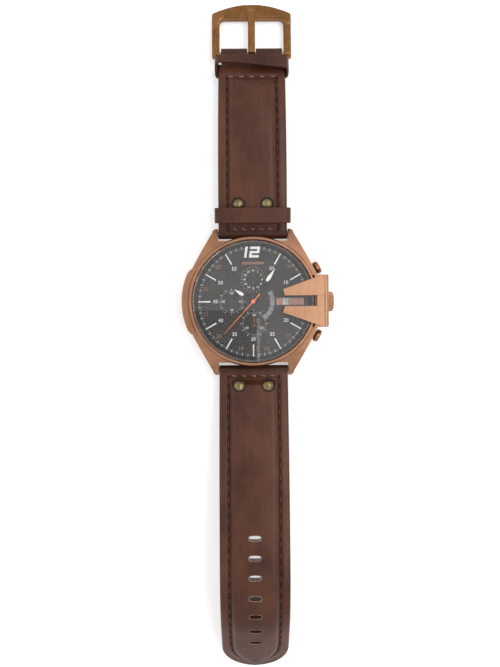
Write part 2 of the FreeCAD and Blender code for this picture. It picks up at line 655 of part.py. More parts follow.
# --------------------------------------------------------- crown and pushers
def make_crown():
    """Fluted crown, its stem, sliding pinion, setting lever and tube."""
    x1 = CROWN_X + CROWN_T
    crown = rod(V(CROWN_X, 0, STEM_Z), V(x1, 0, STEM_Z), CROWN_R)
    crown = safe_chamfer(crown, 0.5, lambda e: abs(e.BoundBox.XMin - e.BoundBox.XMax) < 1e-6)
    crown = crown.cut(rod(V(CROWN_X - 1, 0, STEM_Z), V(CROWN_X + CROWN_RECESS_T, 0, STEM_Z), CROWN_RECESS_R))
    stem_end = CROWN_X + CROWN_RECESS_T + 0.8
    crown = crown.cut(rod(V(CROWN_X, 0, STEM_Z), V(stem_end, 0, STEM_Z), STEM_R))
    cutters = []
    for k in range(CROWN_FLUTES):
        a = 2 * math.pi * k / CROWN_FLUTES
        r = CROWN_R + 0.3 - CROWN_FLUTE_D
        y, z = r * math.cos(a), STEM_Z + r * math.sin(a)
        cutters.append(rod(V(CROWN_X + 0.6, y, z), V(x1 + 1, y, z), 0.3))
    crown = crown.cut(Part.makeCompound(cutters))
    keep("crown", crown)

    stem = rod(V(STEM_IN_X, 0, STEM_Z), V(stem_end, 0, STEM_Z), STEM_R)
    g0, g1 = STEM_GROOVE_X, STEM_GROOVE_X + STEM_GROOVE_W
    groove = rod(V(g0, 0, STEM_Z), V(g1, 0, STEM_Z), 2).cut(rod(V(g0, 0, STEM_Z), V(g1, 0, STEM_Z), STEM_GROOVE_R))
    keep("stem", stem.cut(groove))

    pinion = gear(SLIDING_PINION_TEETH, SLIDING_PINION_R - 0.15, 0, SLIDING_PINION_L).cut(disc(STEM_R, -1, SLIDING_PINION_L + 1))
    pinion.rotate(V(0, 0, 0), V(0, 1, 0), 90)
    pinion.translate(V(SLIDING_PINION_X, 0, STEM_Z))
    keep("sliding_pinion", pinion)

    lever_top = PLATE_Z0 - 0.4
    t0, t1 = g0 + RUN, g1 - RUN
    base = box(SLIDING_PINION_X + 1, t1, -1, 1, lever_top - LEVER_T, lever_top)
    fork = box(t0, t1, -1, 1, lever_top - LEVER_T, STEM_Z + 0.5)
    w = STEM_GROOVE_R + RUN
    fork = fork.cut(box(t0 - 1, t1 + 1, -w, w, STEM_Z, STEM_Z + 5)).cut(rod(V(t0 - 1, 0, STEM_Z), V(t1 + 1, 0, STEM_Z), w))
    keep("setting_lever", fuse([base, fork]))

    a, b = V(MOVEMENT_R, 0, STEM_Z), V(CROWN_TUBE_OUT_X, 0, STEM_Z)
    keep("crown_tube", rod(a, b, CROWN_TUBE_R).cut(rod(V(0, 0, STEM_Z), V(40, 0, STEM_Z), STEM_R + RUN)))


def make_pushers():
    """Two push buttons with tubes and return springs."""
    tubes = []
    for name, a in (("upper", PUSHER_ANGLE), ("lower", -PUSHER_ANGLE)):
        out = PUSHER_CAP_IN + PUSHER_CAP_T
        cap = radial_rod(PUSHER_CAP_IN, out, PUSHER_CAP_R, a, STEM_Z)
        cap = safe_chamfer(cap, 0.35, lambda e: len(e.Vertexes) < 2 and e.Length > PUSHER_CAP_R * 6)
        inner = MOVEMENT_R - 0.05 - PUSHER_COLLAR_T
        neck = radial_rod(inner, PUSHER_CAP_IN, PUSHER_NECK_R, a, STEM_Z)
        collar = radial_rod(inner, inner + PUSHER_COLLAR_T, PUSHER_COLLAR_R, a, STEM_Z)
        keep(f"pusher_{name}", fuse([cap, neck, collar]))
        tube = radial_rod(MOVEMENT_R, PUSHER_SEAT, PUSHER_TUBE_R, a, STEM_Z)
        tubes.append(tube.cut(radial_rod(0, 40, PUSHER_NECK_R + RUN, a, STEM_Z)))
        low = PUSHER_SEAT + SPRING_WIRE_R + 0.03
        high = PUSHER_CAP_IN - SPRING_WIRE_R - 0.03
        helix = Part.makeHelix((high - low) / SPRING_TURNS, high - low, SPRING_R)
        circle = Part.Wire(Part.makeCircle(SPRING_WIRE_R, V(SPRING_R, 0, 0), V(0, 1, 0)))
        coil = Part.Wire(helix).makePipeShell([circle], True, True)
        coil.rotate(V(0, 0, 0), V(0, 1, 0), 90)
        coil.translate(V(low, 0, STEM_Z))
        coil.rotate(V(0, 0, 0), V(0, 0, 1), a)
        keep(f"pusher_{name}_spring", coil)
    keep("pusher_tubes", Part.makeCompound(tubes))


# ------------------------------------------------------------------ movement
SECONDS_PITCH_R = SECONDS_MODULE * SECONDS_TEETH / 2
INTER_PINION_PITCH_R = SECONDS_MODULE * INTER_PINION_TEETH / 2
INTER_PITCH_R = SECONDS_MODULE * INTER_TEETH / 2
ROTOR_PITCH_R = SECONDS_MODULE * ROTOR_TEETH / 2
INTER_POS = polar(SECONDS_PITCH_R + INTER_PINION_PITCH_R, INTER_ANGLE)
_rx, _ry = polar(INTER_PITCH_R + ROTOR_PITCH_R, ROTOR_ANGLE)
ROTOR_POS = (INTER_POS[0] + _rx, INTER_POS[1] + _ry)

CANNON_PITCH_R = MINUTE_WHEEL_PITCH_R * CANNON_TEETH / MINUTE_WHEEL_TEETH
TRAIN_DISTANCE = CANNON_PITCH_R + MINUTE_WHEEL_PITCH_R
MINUTE_PINION_PITCH_R = TRAIN_DISTANCE * MINUTE_PINION_TEETH / (MINUTE_PINION_TEETH + HOUR_WHEEL_TEETH)
HOUR_PITCH_R = TRAIN_DISTANCE - MINUTE_PINION_PITCH_R
DAY_PITCH_R = MINUTE_PINION_PITCH_R * DAY_WHEEL_TEETH / MINUTE_PINION_TEETH
# the minute wheel's arbor, at its distances from the centre and from the 24-hour arbor
_d = math.hypot(*SUB_TWELVE)
_far = MINUTE_PINION_PITCH_R + DAY_PITCH_R
_along = (TRAIN_DISTANCE ** 2 - _far ** 2 + _d ** 2) / (2 * _d)
_off = math.sqrt(TRAIN_DISTANCE ** 2 - _along ** 2)
_ux, _uy = SUB_TWELVE[0] / _d, SUB_TWELVE[1] / _d
MINUTE_POS = (_along * _ux + _off * _uy, _along * _uy - _off * _ux)


def bearing(a, b):
    """The direction from point a to point b, in degrees from +X."""
    return math.degrees(math.atan2(b[1] - a[1], b[0] - a[0]))


def make_movement():
    """Holder, main plate, bridge, trains, motor, board and cell."""
    top, z0 = PLATE_TOP, PLATE_Z0
    holder = ring(MOVEMENT_R - 2 * SEAT, HOLDER_IN_R, PLUG_TOP, DIAL_Z0)
    for a in (PUSHER_ANGLE, -PUSHER_ANGLE):
        holder = holder.cut(radial_rod(MOVEMENT_R - 0.4 - PUSHER_COLLAR_T - PUSHER_TRAVEL, 25, PUSHER_COLLAR_R + GAP, a, STEM_Z))
    holder = holder.cut(rod(V(0, 0, STEM_Z), V(25, 0, STEM_Z), STEM_R + GAP))
    keep("movement_holder", holder)

    ring_top = DIAL_Z0 - DATE_RING_BELOW_DIAL
    ring_z0 = ring_top - DATE_RING_T
    plate = disc(PLATE_R, z0, top)
    rim_in = DATE_RING_R + 2 * SEAT
    plate = fuse([plate, ring(DATE_RIM_R, rim_in - DATE_LEDGE_W - 2 * SEAT, top, ring_z0 - SEAT),
                  ring(DATE_RIM_R, rim_in, top, DIAL_Z0 - GAP)])
    px = SLIDING_PINION_X - 0.8
    pinion_half = SLIDING_PINION_R + GAP
    plate = plate.cut(box(px, PLATE_R + 1, -1.2, 1.2, z0 - 1, top + 0.6))
    plate = plate.cut(box(px, px + SLIDING_PINION_L + CROWN_PULL + 1.2, -pinion_half, pinion_half, z0 - 1, top + 1))
    bx, by = BATTERY_POS
    cell_z0 = PLUG_TOP + 0.25
    plate = plate.cut(disc(BATTERY_R + BATTERY_GAP, z0 - 1, cell_z0 + BATTERY_T + 0.1, bx, by))
    # bearings, drilled from the top for the dial side and from below for the train
    for x, y in (SUB_TWELVE, SUB_NINE, SUB_SIX, MINUTE_POS):
        plate = plate.cut(disc(ARBOR_R + RUN, top - 1.0, top + 1, x, y))
    plate = plate.cut(disc(SECONDS_ARBOR_R + RUN, z0 - 1, top + 1))
    for x, y in (INTER_POS, ROTOR_POS):
        plate = plate.cut(disc(FINE_ARBOR_R + RUN, z0 - 1, z0 + 0.7, x, y))
    keep("mainplate", plate)
    keep("date_ring", ring(DATE_RING_R, DATE_RING_IN_R, ring_z0, ring_top))

    b0 = PLATE_BRIDGE_Z0
    pillars = [disc(BRIDGE_PILLAR_R, b0, z0, *polar(BRIDGE_R - 0.7, a)) for a in (30, 100, 300)]
    bridge = fuse([disc(BRIDGE_R, b0, b0 + BRIDGE_T)] + pillars)
    bridge = bridge.cut(disc(SECONDS_ARBOR_R + RUN, b0 - 1, b0 + 1))
    for x, y in (INTER_POS, ROTOR_POS):
        bridge = bridge.cut(disc(FINE_ARBOR_R + RUN, b0 - 1, b0 + 1, x, y))
    keep("train_bridge", bridge)

    # seconds train, between the bridge and the main plate
    w0 = b0 + BRIDGE_T + 0.2
    p0 = w0 + 0.3
    inter_ph = 0.0
    inter = fuse([disc(FINE_ARBOR_R, b0 + 0.1, z0 + 0.5, *INTER_POS),
                  gear(INTER_TEETH, INTER_PITCH_R, w0, w0 + WHEEL_T, *INTER_POS, phase=inter_ph),
                  disc(INTER_PINION_PITCH_R * 0.6, w0 + WHEEL_T, p0, *INTER_POS),
                  gear(INTER_PINION_TEETH, INTER_PINION_PITCH_R, p0 - 0.05, p0 + 0.25, *INTER_POS, phase=inter_ph)])
    keep("intermediate_wheel", inter)
    ph = mesh_phase(inter_ph, INTER_PINION_TEETH, SECONDS_TEETH, bearing(INTER_POS, (0, 0)))
    hub_top = DIAL_TOP + SECONDS_HAND_LIFT + HAND_T
    keep("seconds_wheel", fuse([disc(SECONDS_ARBOR_R, b0 + 0.1, hub_top),
                                gear(SECONDS_TEETH, SECONDS_PITCH_R, p0, p0 + WHEEL_T, phase=ph)]))
    ph = mesh_phase(inter_ph, INTER_TEETH, ROTOR_TEETH, bearing(INTER_POS, ROTOR_POS))
    keep("motor_rotor", fuse([disc(FINE_ARBOR_R, b0 + 0.1, z0 + 0.5, *ROTOR_POS),
                              gear(ROTOR_TEETH, ROTOR_PITCH_R, w0 - 0.05, p0, *ROTOR_POS, phase=ph),
                              disc(ROTOR_MAGNET_R, p0, p0 + STATOR_T, *ROTOR_POS)]))

    # motor: stator with its bore round the rotor, and the coil on its core
    rx, ry = ROTOR_POS
    s0, s1 = p0, p0 + STATOR_T
    coil_x = rx - 4.4
    y_top, y_low = ry - 0.1, ry - 0.1 - COIL_L - 1.4
    stator = fuse([box(rx - 1.6, rx + 1.6, y_low, ry + 1.45, s0, s1),
                   box(coil_x - 0.4, rx, y_low, y_low + 0.7, s0, s1),
                   box(coil_x - 0.4, rx, y_top - 0.7, y_top, s0, s1),
                   box(coil_x - 0.4, coil_x + 0.4, y_low, y_top, s0, s1)])
    stator = stator.cut(disc(ROTOR_MAGNET_R + ROTOR_GAP, s0 - 1, s1 + 1, rx, ry))
    keep("motor_stator", stator)
    zc = (s0 + s1) / 2
    coil = rod(V(coil_x, y_low + 0.7, zc), V(coil_x, y_top - 0.7, zc), COIL_R)
    coil = coil.common(box(coil_x - 5, coil_x + 5, y_low, y_top, PLUG_TOP + 0.1, z0))
    keep("motor_coil", coil.cut(box(coil_x - 0.4, coil_x + 0.4, y_low, y_top, s0, s1)))

    board = ring(BOARD_R, BOARD_IN_R, z0 - BOARD_T, z0).common(
        prism([(0, 3.0), (25, 9.0), (25, 30), (-25, 30), (-25, 3.0)], 0, 20))
    can_z = z0 - BOARD_T - CAN_R
    can = rod(V(-CAN_L / 2 - 3, 12, can_z), V(CAN_L / 2 - 3, 12, can_z), CAN_R)
    chip = box(2.0, 5.5, 10.0, 13.5, z0 - BOARD_T - 0.6, z0 - BOARD_T)
    foot = box(-CAN_L / 2 - 3, CAN_L / 2 - 3, 11.8, 12.2, can_z, z0 - BOARD_T)
    keep("circuit_board", fuse([board, can.fuse(foot), chip]))
    battery = fuse([disc(BATTERY_R, cell_z0, cell_z0 + BATTERY_T - 0.4, bx, by),
                    disc(BATTERY_R - 0.5, cell_z0, cell_z0 + BATTERY_T, bx, by)])
    keep("battery", battery)
    cx, cy = bx, by + BATTERY_R + 1.2
    clamp = fuse([box(cx - 1.2, cx + 1.2, by - BATTERY_R + 1.5, cy + 0.6, cell_z0 - 0.2, cell_z0),
                  box(cx - 1.2, cx + 1.2, cy - 0.3, cy + 0.6, cell_z0 - 0.2, z0)])
    keep("battery_clamp", clamp)

    # motion work, between the main plate and the dial
    c0 = top + 0.02
    m0 = top + 0.15
    minute_top = DIAL_TOP + MINUTE_HAND_LIFT + HAND_T
    hour_top = DIAL_TOP + HOUR_HAND_LIFT + HAND_T
    cannon = fuse([disc(CANNON_R, c0, minute_top), gear(CANNON_TEETH, CANNON_PITCH_R, m0, m0 + WHEEL_T)])
    keep("cannon_pinion", cannon.cut(disc(SECONDS_ARBOR_R + RUN, c0 - 1, minute_top + 1)))
    to_minute = bearing((0, 0), MINUTE_POS)
    wheel_ph = mesh_phase(0.0, CANNON_TEETH, MINUTE_WHEEL_TEETH, to_minute)
    pinion_ph = wheel_ph
    pinion_top = DIAL_Z0 - 0.75
    keep("minute_wheel", fuse([disc(ARBOR_R, top - 0.9, pinion_top, *MINUTE_POS),
                               gear(MINUTE_WHEEL_TEETH, MINUTE_WHEEL_PITCH_R, m0, m0 + WHEEL_T, *MINUTE_POS, phase=wheel_ph),
                               gear(MINUTE_PINION_TEETH, MINUTE_PINION_PITCH_R, m0 + WHEEL_T, pinion_top, *MINUTE_POS, phase=pinion_ph)]))
    h0 = m0 + WHEEL_T + 0.55
    ph = mesh_phase(pinion_ph, MINUTE_PINION_TEETH, HOUR_WHEEL_TEETH, bearing(MINUTE_POS, (0, 0)))
    pipe0 = m0 + WHEEL_T + 0.2
    hour = fuse([disc(HOUR_PIPE_R, pipe0, hour_top), gear(HOUR_WHEEL_TEETH, HOUR_PITCH_R, h0, h0 + WHEEL_T, phase=ph)])
    keep("hour_wheel", hour.cut(disc(CANNON_R + RUN, pipe0 - 1, hour_top + 1)))
    d0 = m0 + WHEEL_T + 0.2
    sub_top = DIAL_TOP - SUB_DEPTH + SUB_HAND_LIFT + SUB_HAND_T
    ph = mesh_phase(pinion_ph, MINUTE_PINION_TEETH, DAY_WHEEL_TEETH, bearing(MINUTE_POS, SUB_TWELVE))
    keep("day_wheel", fuse([disc(ARBOR_R, top - 0.9, sub_top, *SUB_TWELVE),
                            gear(DAY_WHEEL_TEETH, DAY_PITCH_R, d0, d0 + WHEEL_T, *SUB_TWELVE, phase=ph)]))
    for name, pos in (("nine", SUB_NINE), ("six", SUB_SIX)):
        keep(f"counter_wheel_{name}", fuse([disc(ARBOR_R, top - 0.9, sub_top, *pos),
                                            gear(40, 2.4, m0 + 0.1, m0 + 0.1 + WHEEL_T, *pos)]))


# ---------------------------------------------------------------------- dial
def stroke(points, width):
    """A run of straight bars of one width through plan points, squared off."""
    bars = []
    h = width / 2
    for (x0, y0), (x1, y1) in zip(points, points[1:]):
        bars.append((min(x0, x1) - h, max(x0, x1) + h, min(y0, y1) - h, max(y0, y1) + h))
    return bars


def make_dial():
    """Dial with sunk registers, applied markers, numeral and date strip."""
    dial = disc(DIAL_R, DIAL_Z0, DIAL_TOP).cut(disc(DIAL_HOLE_R, 0, 20))
    for (x, y), r in ((SUB_TWELVE, SUB_TWELVE_R), (SUB_NINE, SUB_NINE_R), (SUB_SIX, SUB_SIX_R)):
        dial = dial.cut(disc(r, DIAL_TOP - SUB_DEPTH, DIAL_TOP + 1, x, y)).cut(disc(SUB_HOLE_R, 0, 20, x, y))
    window = box(DATE_X - DATE_HALF_X, DATE_X + DATE_HALF_X, -DATE_HALF_Y, DATE_HALF_Y, 0, 20)
    keep("dial", dial.cut(window))
    strip = box(DATE_STRIP_IN_X, DATE_STRIP_OUT_X, -DATE_STRIP_HALF_Y, DATE_STRIP_HALF_Y, DIAL_TOP, DIAL_TOP + DATE_STRIP_T)
    keep("date_strip", strip.cut(window))

    top = DIAL_TOP + MARKER_T
    markers = []
    for hour in (1, 2, 4, 5, 6, 7, 8, 9, 10, 11):
        h = MARKER_W / 2
        bar = prism([(-h, MARKER_IN_R), (h, MARKER_IN_R), (h * 0.7, MARKER_OUT_R), (-h * 0.7, MARKER_OUT_R)], DIAL_TOP, top)
        markers.append(spun(bar, 30.0 * hour))
    keep("hour_markers", Part.makeCompound(markers))

    t = NUMERAL_STROKE
    y0, y1 = NUMERAL_Y + t / 2, NUMERAL_Y + NUMERAL_H - t / 2
    ym = (y0 + y1) / 2
    one = stroke([(-2.6, y0), (-2.6, y1)], t)
    two = stroke([(-0.8, y1), (1.95, y1), (1.95, ym), (-0.8, ym), (-0.8, y0), (1.95, y0)], t)
    glyphs = []
    for bars in (one, two):
        solids = []
        for bx0, bx1, by0, by1 in bars:
            lean = NUMERAL_SLANT
            pts = [(bx0 + lean * (by0 - ym), by0), (bx1 + lean * (by0 - ym), by0),
                   (bx1 + lean * (by1 - ym), by1), (bx0 + lean * (by1 - ym), by1)]
            solids.append(prism(pts, DIAL_TOP, top))
        glyphs.append(fuse(solids))
    keep("numeral_twelve", Part.makeCompound(glyphs))


def leaf_hand(length, width, waist, bore, z0, neck=0.36, hub=1.35):
    """A hand with a narrow neck and a leaf-shaped end, pointing to 12."""
    wide = waist + (length - waist) * 0.28
    pts = [(-neck / 2, 0), (-neck / 2, waist - 0.2), (-width * 0.3, waist), (-width / 2, wide), (-0.1, length), (0.1, length),
           (width / 2, wide), (width * 0.3, waist), (neck / 2, waist - 0.2), (neck / 2, 0)]
    hand = fuse([prism(pts, z0, z0 + HAND_T), disc(hub, z0, z0 + HAND_T)])
    return hand.cut(disc(bore, z0 - 1, z0 + 1))


def small_hand(length, pos, z0):
    """A register hand on its arbor, pointing to 12."""
    w, x, y = SUB_HAND_W, *pos
    pts = [(x - w / 2, y - SUB_HAND_TAIL), (x + w / 2, y - SUB_HAND_TAIL), (x + 0.05, y + length), (x - 0.05, y + length)]
    hand = fuse([prism(pts, z0, z0 + SUB_HAND_T), disc(0.62, z0, z0 + SUB_HAND_T, x, y)])
    return hand.cut(disc(ARBOR_R, z0 - 1, z0 + 1, x, y))


def make_hands():
    """Centre hands and register hands."""
    hour = leaf_hand(HOUR_HAND_L, HOUR_HAND_W, HOUR_HAND_WAIST, HOUR_PIPE_R, DIAL_TOP + HOUR_HAND_LIFT)
    keep("hour_hand", spun(hour, HOUR_HAND_ANGLE))
    minute = leaf_hand(MINUTE_HAND_L, MINUTE_HAND_W, MINUTE_HAND_WAIST, CANNON_R, DIAL_TOP + MINUTE_HAND_LIFT, hub=1.0)
    keep("minute_hand", spun(minute, MINUTE_HAND_ANGLE))
    z0 = DIAL_TOP + SECONDS_HAND_LIFT
    sec = fuse([prism([(-0.2, -SECONDS_HAND_TAIL), (0.2, -SECONDS_HAND_TAIL), (0.07, SECONDS_HAND_L), (-0.07, SECONDS_HAND_L)], z0, z0 + 0.12),
                disc(SECONDS_HUB_R, z0, z0 + 0.3)])
    sec = sec.cut(disc(SECONDS_ARBOR_R, z0 - 1, z0 + HAND_T))
    keep("seconds_hand", spun(sec, SECONDS_HAND_ANGLE))
    z0 = DIAL_TOP - SUB_DEPTH + SUB_HAND_LIFT
    keep("register_hand_twelve", small_hand(SUB_HAND_TWELVE_L, SUB_TWELVE, z0))
    keep("register_hand_nine", small_hand(SUB_HAND_NINE_L, SUB_NINE, z0))
    keep("register_hand_six", small_hand(SUB_HAND_SIX_L, SUB_SIX, z0))


# --------------------------------------------------------------------- strap
def upper_path():
    """Middle line of the buckle half, from spring bar to buckle bar."""
    half = UPPER_L / (2 * UPPER_R)
    chord = 2 * UPPER_R * math.sin(half)
    slope = half + math.asin((BUCKLE_BAR_Z - BAR_Z) / chord)
    return SidePath(1, BAR_Y, BAR_Z, slope, [(UPPER_L, UPPER_R)])


def tail_path():
    """Middle line of the tail half, sloped so that its tip meets the table."""
    segments = [(TAIL_RISE_L, TAIL_RISE_R), (TAIL_CURL_L, TAIL_CURL_R), (TAIL_END_L, 0)]
    low, high = 0.0, math.radians(60)
    for _ in range(60):
        mid = (low + high) / 2
        path = SidePath(-1, BAR_Y, BAR_Z, mid, segments)
        point, a = path.at(path.length)
        if point.z - STRAP_HALF_T / math.cos(a) > 0:
            high = mid
        else:
            low = mid
    return SidePath(-1, BAR_Y, BAR_Z, (low + high) / 2, segments)


def taper(sign, y0, y1, half0, half1):
    """A plan mask that narrows from the lugs outwards."""
    pts = [(-half0, sign * y0), (half0, sign * y0), (half1, sign * y1), (-half1, sign * y1)]
    return prism(pts if sign > 0 else pts[::-1], -20, 60)


def make_upper_strap():
    """Buckle half: leather, rivets and both keepers."""
    path = upper_path()
    t = STRAP_HALF_T
    end = path.at(path.length)[0]
    narrow_s = UPPER_L - FOLD_L
    wide = path.band(0, narrow_s, -t, t, -STRAP_HALF_LUG, STRAP_HALF_LUG)
    wide = wide.common(taper(1, BAR_Y - 5, end.y, STRAP_HALF_LUG, STRAP_HALF_END))
    pad = path.band(PAD_START, PAD_START + UPPER_PAD_L, t, t + PAD_RISE, -PAD_HALF_W, PAD_HALF_W)
    loop = rod(V(-STRAP_HALF_LUG, BAR_Y, BAR_Z), V(STRAP_HALF_LUG, BAR_Y, BAR_Z), STRAP_LOOP_R)
    fold = path.band(narrow_s - 0.5, UPPER_L, -t, t, -FOLD_HALF_W, FOLD_HALF_W)
    roll = rod(V(-FOLD_HALF_W, end.y, end.z), V(FOLD_HALF_W, end.y, end.z), FOLD_R)
    strap = fuse([wide, pad, loop, fold, roll])
    strap = strap.cut(rod(V(-30, BAR_Y, BAR_Z), V(30, BAR_Y, BAR_Z), BAR_R + PIN_RUN))
    strap = strap.cut(rod(V(-30, end.y, end.z), V(30, end.y, end.z), BUCKLE_BAR_R + PIN_RUN))
    strap = strap.cut(path.band(UPPER_L - TONGUE_SLOT_L, UPPER_L + 6, -6, 6, -TONGUE_SLOT_HALF, TONGUE_SLOT_HALF))
    strap, rivets = riveted(strap, path, RIVET_UPPER_S)
    keep("strap_upper", strap)
    keep("rivets_upper", rivets)

    def loop_at(s, width, low, high):
        half = STRAP_HALF_LUG - (STRAP_HALF_LUG - STRAP_HALF_END) * s / UPPER_L + KEEPER_SIDE
        k, w = KEEPER_T, width / 2
        outer = box(-half - k, half + k, -w, w, low - k, high + k)
        outer = outer.makeFillet(0.8, [e for e in outer.Edges if e.BoundBox.YLength > width * 0.9])
        return path.place(outer.cut(box(-half, half, -w - 1, w + 1, low, high)), s)

    free_high = t + PAD_RISE + RIVET_HEAD_T + KEEPER_FREE_CLEAR
    keep("keeper_free", loop_at(KEEPER_FREE_S, KEEPER_FREE_W, -t - KEEPER_FREE_CLEAR, free_high))
    s = UPPER_L - KEEPER_FIXED_TO_BAR - KEEPER_FIXED_W / 2
    keep("keeper_fixed", loop_at(s, KEEPER_FIXED_W, -t - 2 * SEAT, KEEPER_FIXED_RISE))


def riveted(strap, path, s):
    """A strap drilled for two rivets, and the rivets."""
    top = STRAP_HALF_T + PAD_RISE
    rivets = []
    for x in (RIVET_HALF_X, -RIVET_HALF_X):
        r = (RIVET_HEAD_R ** 2 + RIVET_HEAD_T ** 2) / (2 * RIVET_HEAD_T)
        ball = Part.makeSphere(r, V(x, 0, top + RIVET_HEAD_T - r))
        head = ball.common(disc(RIVET_HEAD_R + 1, top, top + 5, x, 0))
        shank = disc(RIVET_SHANK_R, -STRAP_HALF_T, top + 0.2, x, 0)
        rivets.append(path.place(fuse([head, shank]), s))
        strap = strap.cut(path.place(disc(RIVET_SHANK_R, -5, top + 5, x, 0), s))
        strap = strap.cut(path.place(disc(RIVET_HEAD_R + 0.05, top, top + 5, x, 0), s))
    return strap, Part.makeCompound(rivets)


def make_tail_strap():
    """Tail half: leather with adjustment holes, and rivets."""
    path = tail_path()
    t = STRAP_HALF_T
    tip = path.at(path.length)[0]
    tip_y = -tip.y
    slab = path.band(0, path.length + 2, -t, t, -STRAP_HALF_LUG, STRAP_HALF_LUG)
    e = STRAP_HALF_END
    outline = [(-e, tip_y - TIP_TAPER), (-e * 0.965, tip_y - TIP_TAPER * 0.72), (-e * 0.87, tip_y - TIP_TAPER * 0.4),
               (-e * 0.6, tip_y - TIP_TAPER * 0.15), (0, tip_y),
               (e * 0.6, tip_y - TIP_TAPER * 0.15), (e * 0.87, tip_y - TIP_TAPER * 0.4),
               (e * 0.965, tip_y - TIP_TAPER * 0.72), (e, tip_y - TIP_TAPER)]
    curve = Part.BSplineCurve()
    curve.interpolate([V(x, -y, -20) for x, y in outline])
    a, b = V(STRAP_HALF_LUG, -(BAR_Y - 5), -20), V(-STRAP_HALF_LUG, -(BAR_Y - 5), -20)
    first, last = V(outline[0][0], -outline[0][1], -20), V(outline[-1][0], -outline[-1][1], -20)
    wire = Part.Wire([curve.toShape(), Part.makeLine(last, a), Part.makeLine(a, b), Part.makeLine(b, first)])
    slab = slab.common(Part.Face(wire).extrude(V(0, 0, 80)))
    pad = path.band(PAD_START, PAD_START + TAIL_PAD_L, t, t + PAD_RISE, -PAD_HALF_W, PAD_HALF_W)
    loop = rod(V(-STRAP_HALF_LUG, -BAR_Y, BAR_Z), V(STRAP_HALF_LUG, -BAR_Y, BAR_Z), STRAP_LOOP_R)
    strap = fuse([slab, pad, loop])
    strap = strap.cut(rod(V(-30, -BAR_Y, BAR_Z), V(30, -BAR_Y, BAR_Z), BAR_R + PIN_RUN))
    flat = (HOLE_L - HOLE_W) / 2
    for k in range(HOLE_COUNT):
        s = path.length - LAST_HOLE_FROM_TIP - HOLE_PITCH * k
        punch = fuse([disc(HOLE_W / 2, -5, 8, -flat, 0), disc(HOLE_W / 2, -5, 8, flat, 0),
                      box(-flat, flat, -HOLE_W / 2, HOLE_W / 2, -5, 8)])
        strap = strap.cut(path.place(punch, s))
    strap, rivets = riveted(strap, path, RIVET_LOWER_S)
    keep("strap_lower", strap)
    keep("rivets_lower", rivets)


def make_bars():
    """Spring bars between the lugs."""
    bars = []
    for y in (BAR_Y, -BAR_Y):
        reach = LUG_HALF_GAP + BAR_TIP_REACH
        body = LUG_HALF_GAP - 0.1
        bars.append(fuse([rod(V(-body, y, BAR_Z), V(body, y, BAR_Z), BAR_R),
                          rod(V(-reach, y, BAR_Z), V(reach, y, BAR_Z), BAR_TIP_R)]))
    keep("spring_bars", Part.makeCompound(bars))


# -------------------------------------------------------------------- buckle
def make_buckle():
    """Buckle frame, its bar and the tongue, laid so that the bow meets the table."""
    bar = upper_path().at(UPPER_L)[0]
    inner, outer = BUCKLE_INNER_HALF, BUCKLE_INNER_HALF + BUCKLE_ARM_W
    edge = BUCKLE_WINDOW_L + BUCKLE_TOP_W
    reach = edge + BUCKLE_BOW
    t, tt = BUCKLE_ARM_HALF_T, BUCKLE_TOP_HALF_T
    tilt = math.asin(bar.z / math.hypot(reach, tt)) - math.atan2(tt, reach)

    def lay(shape):
        out = shape.copy()
        out.rotate(V(0, 0, 0), V(1, 0, 0), -math.degrees(tilt))
        out.translate(bar)
        return out

    arms = []
    for s in (1, -1):
        x0, x1 = sorted((s * inner, s * outer))
        arms += [box(x0, x1, 0, edge - 0.5, -t, t), rod(V(x0, 0, 0), V(x1, 0, 0), BUCKLE_EYE_R)]
    bow = Part.Arc(V(outer, edge, -tt), V(0, reach, -tt), V(-outer, edge, -tt)).toShape()
    w = BUCKLE_WINDOW_L
    c = BUCKLE_CORNER
    half = [(outer, edge), (outer, w - c), (inner, w - c), (inner - c * 0.1, w - c * 0.6),
            (inner - c * 0.3, w - c * 0.3), (inner - c * 0.6, w - c * 0.1), (inner - c, w)]
    rim = [V(x, y, -tt) for x, y in half] + [V(-x, y, -tt) for x, y in reversed(half)]
    outline = Part.Wire([bow] + [Part.makeLine(p, q) for p, q in zip(rim, rim[1:])])
    top = Part.Face(outline).extrude(V(0, 0, 2 * tt))
    frame = fuse([top] + arms)
    seat = rod(V(-inner - 2.2, 0, 0), V(inner + 2.2, 0, 0), BUCKLE_BAR_R)
    frame = frame.cut(seat)
    keep("buckle_frame", lay(frame))
    keep("buckle_bar", lay(seat))

    h = TONGUE_W / 2
    base = tt + 0.02
    tip = reach - TONGUE_SHORT
    shank = side_prism([(0, 0.9), (-1.1, 1.2), (-0.4, base + TONGUE_T - 0.1), (tip - 1.2, base + TONGUE_T),
                        (tip, base + 0.4), (tip, base), (4.5, base), (2.8, 0.7), (1.5, 0)], -h, h)
    tongue = fuse([shank, rod(V(-h, 0, 0), V(h, 0, 0), TONGUE_EYE_R)])
    tongue = tongue.cut(rod(V(-9, 0, 0), V(9, 0, 0), BUCKLE_BAR_R + PIN_RUN))
    keep("buckle_tongue", lay(tongue))


def main():
    """Build every piece and write one file for each."""
    make_back()
    make_case()
    make_top()
    make_guard()
    make_crown()
    make_pushers()
    make_movement()
    make_dial()
    make_hands()
    make_upper_strap()
    make_tail_strap()
    make_bars()
    make_buckle()
    os.makedirs("parts", exist_ok=True)
    for name, shape in PARTS.items():
        shape.exportStep(f"parts/{name}.step")
        b = shape.BoundBox
        print(f"{name:22s} {len(shape.Solids)} solid  {shape.Volume:10.3f} mm3  "
              f"x {b.XMin:7.2f} {b.XMax:7.2f}  y {b.YMin:8.2f} {b.YMax:8.2f}  z {b.ZMin:6.2f} {b.ZMax:6.2f}")


main()
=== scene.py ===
"""A chronograph wristwatch on a padded leather strap, dressed over its engineering model.

The classes hold their sizes in millimetres and ``mm`` turns them into metres.
X points to the crown, Y to twelve o'clock and Z up through the crystal.
"""

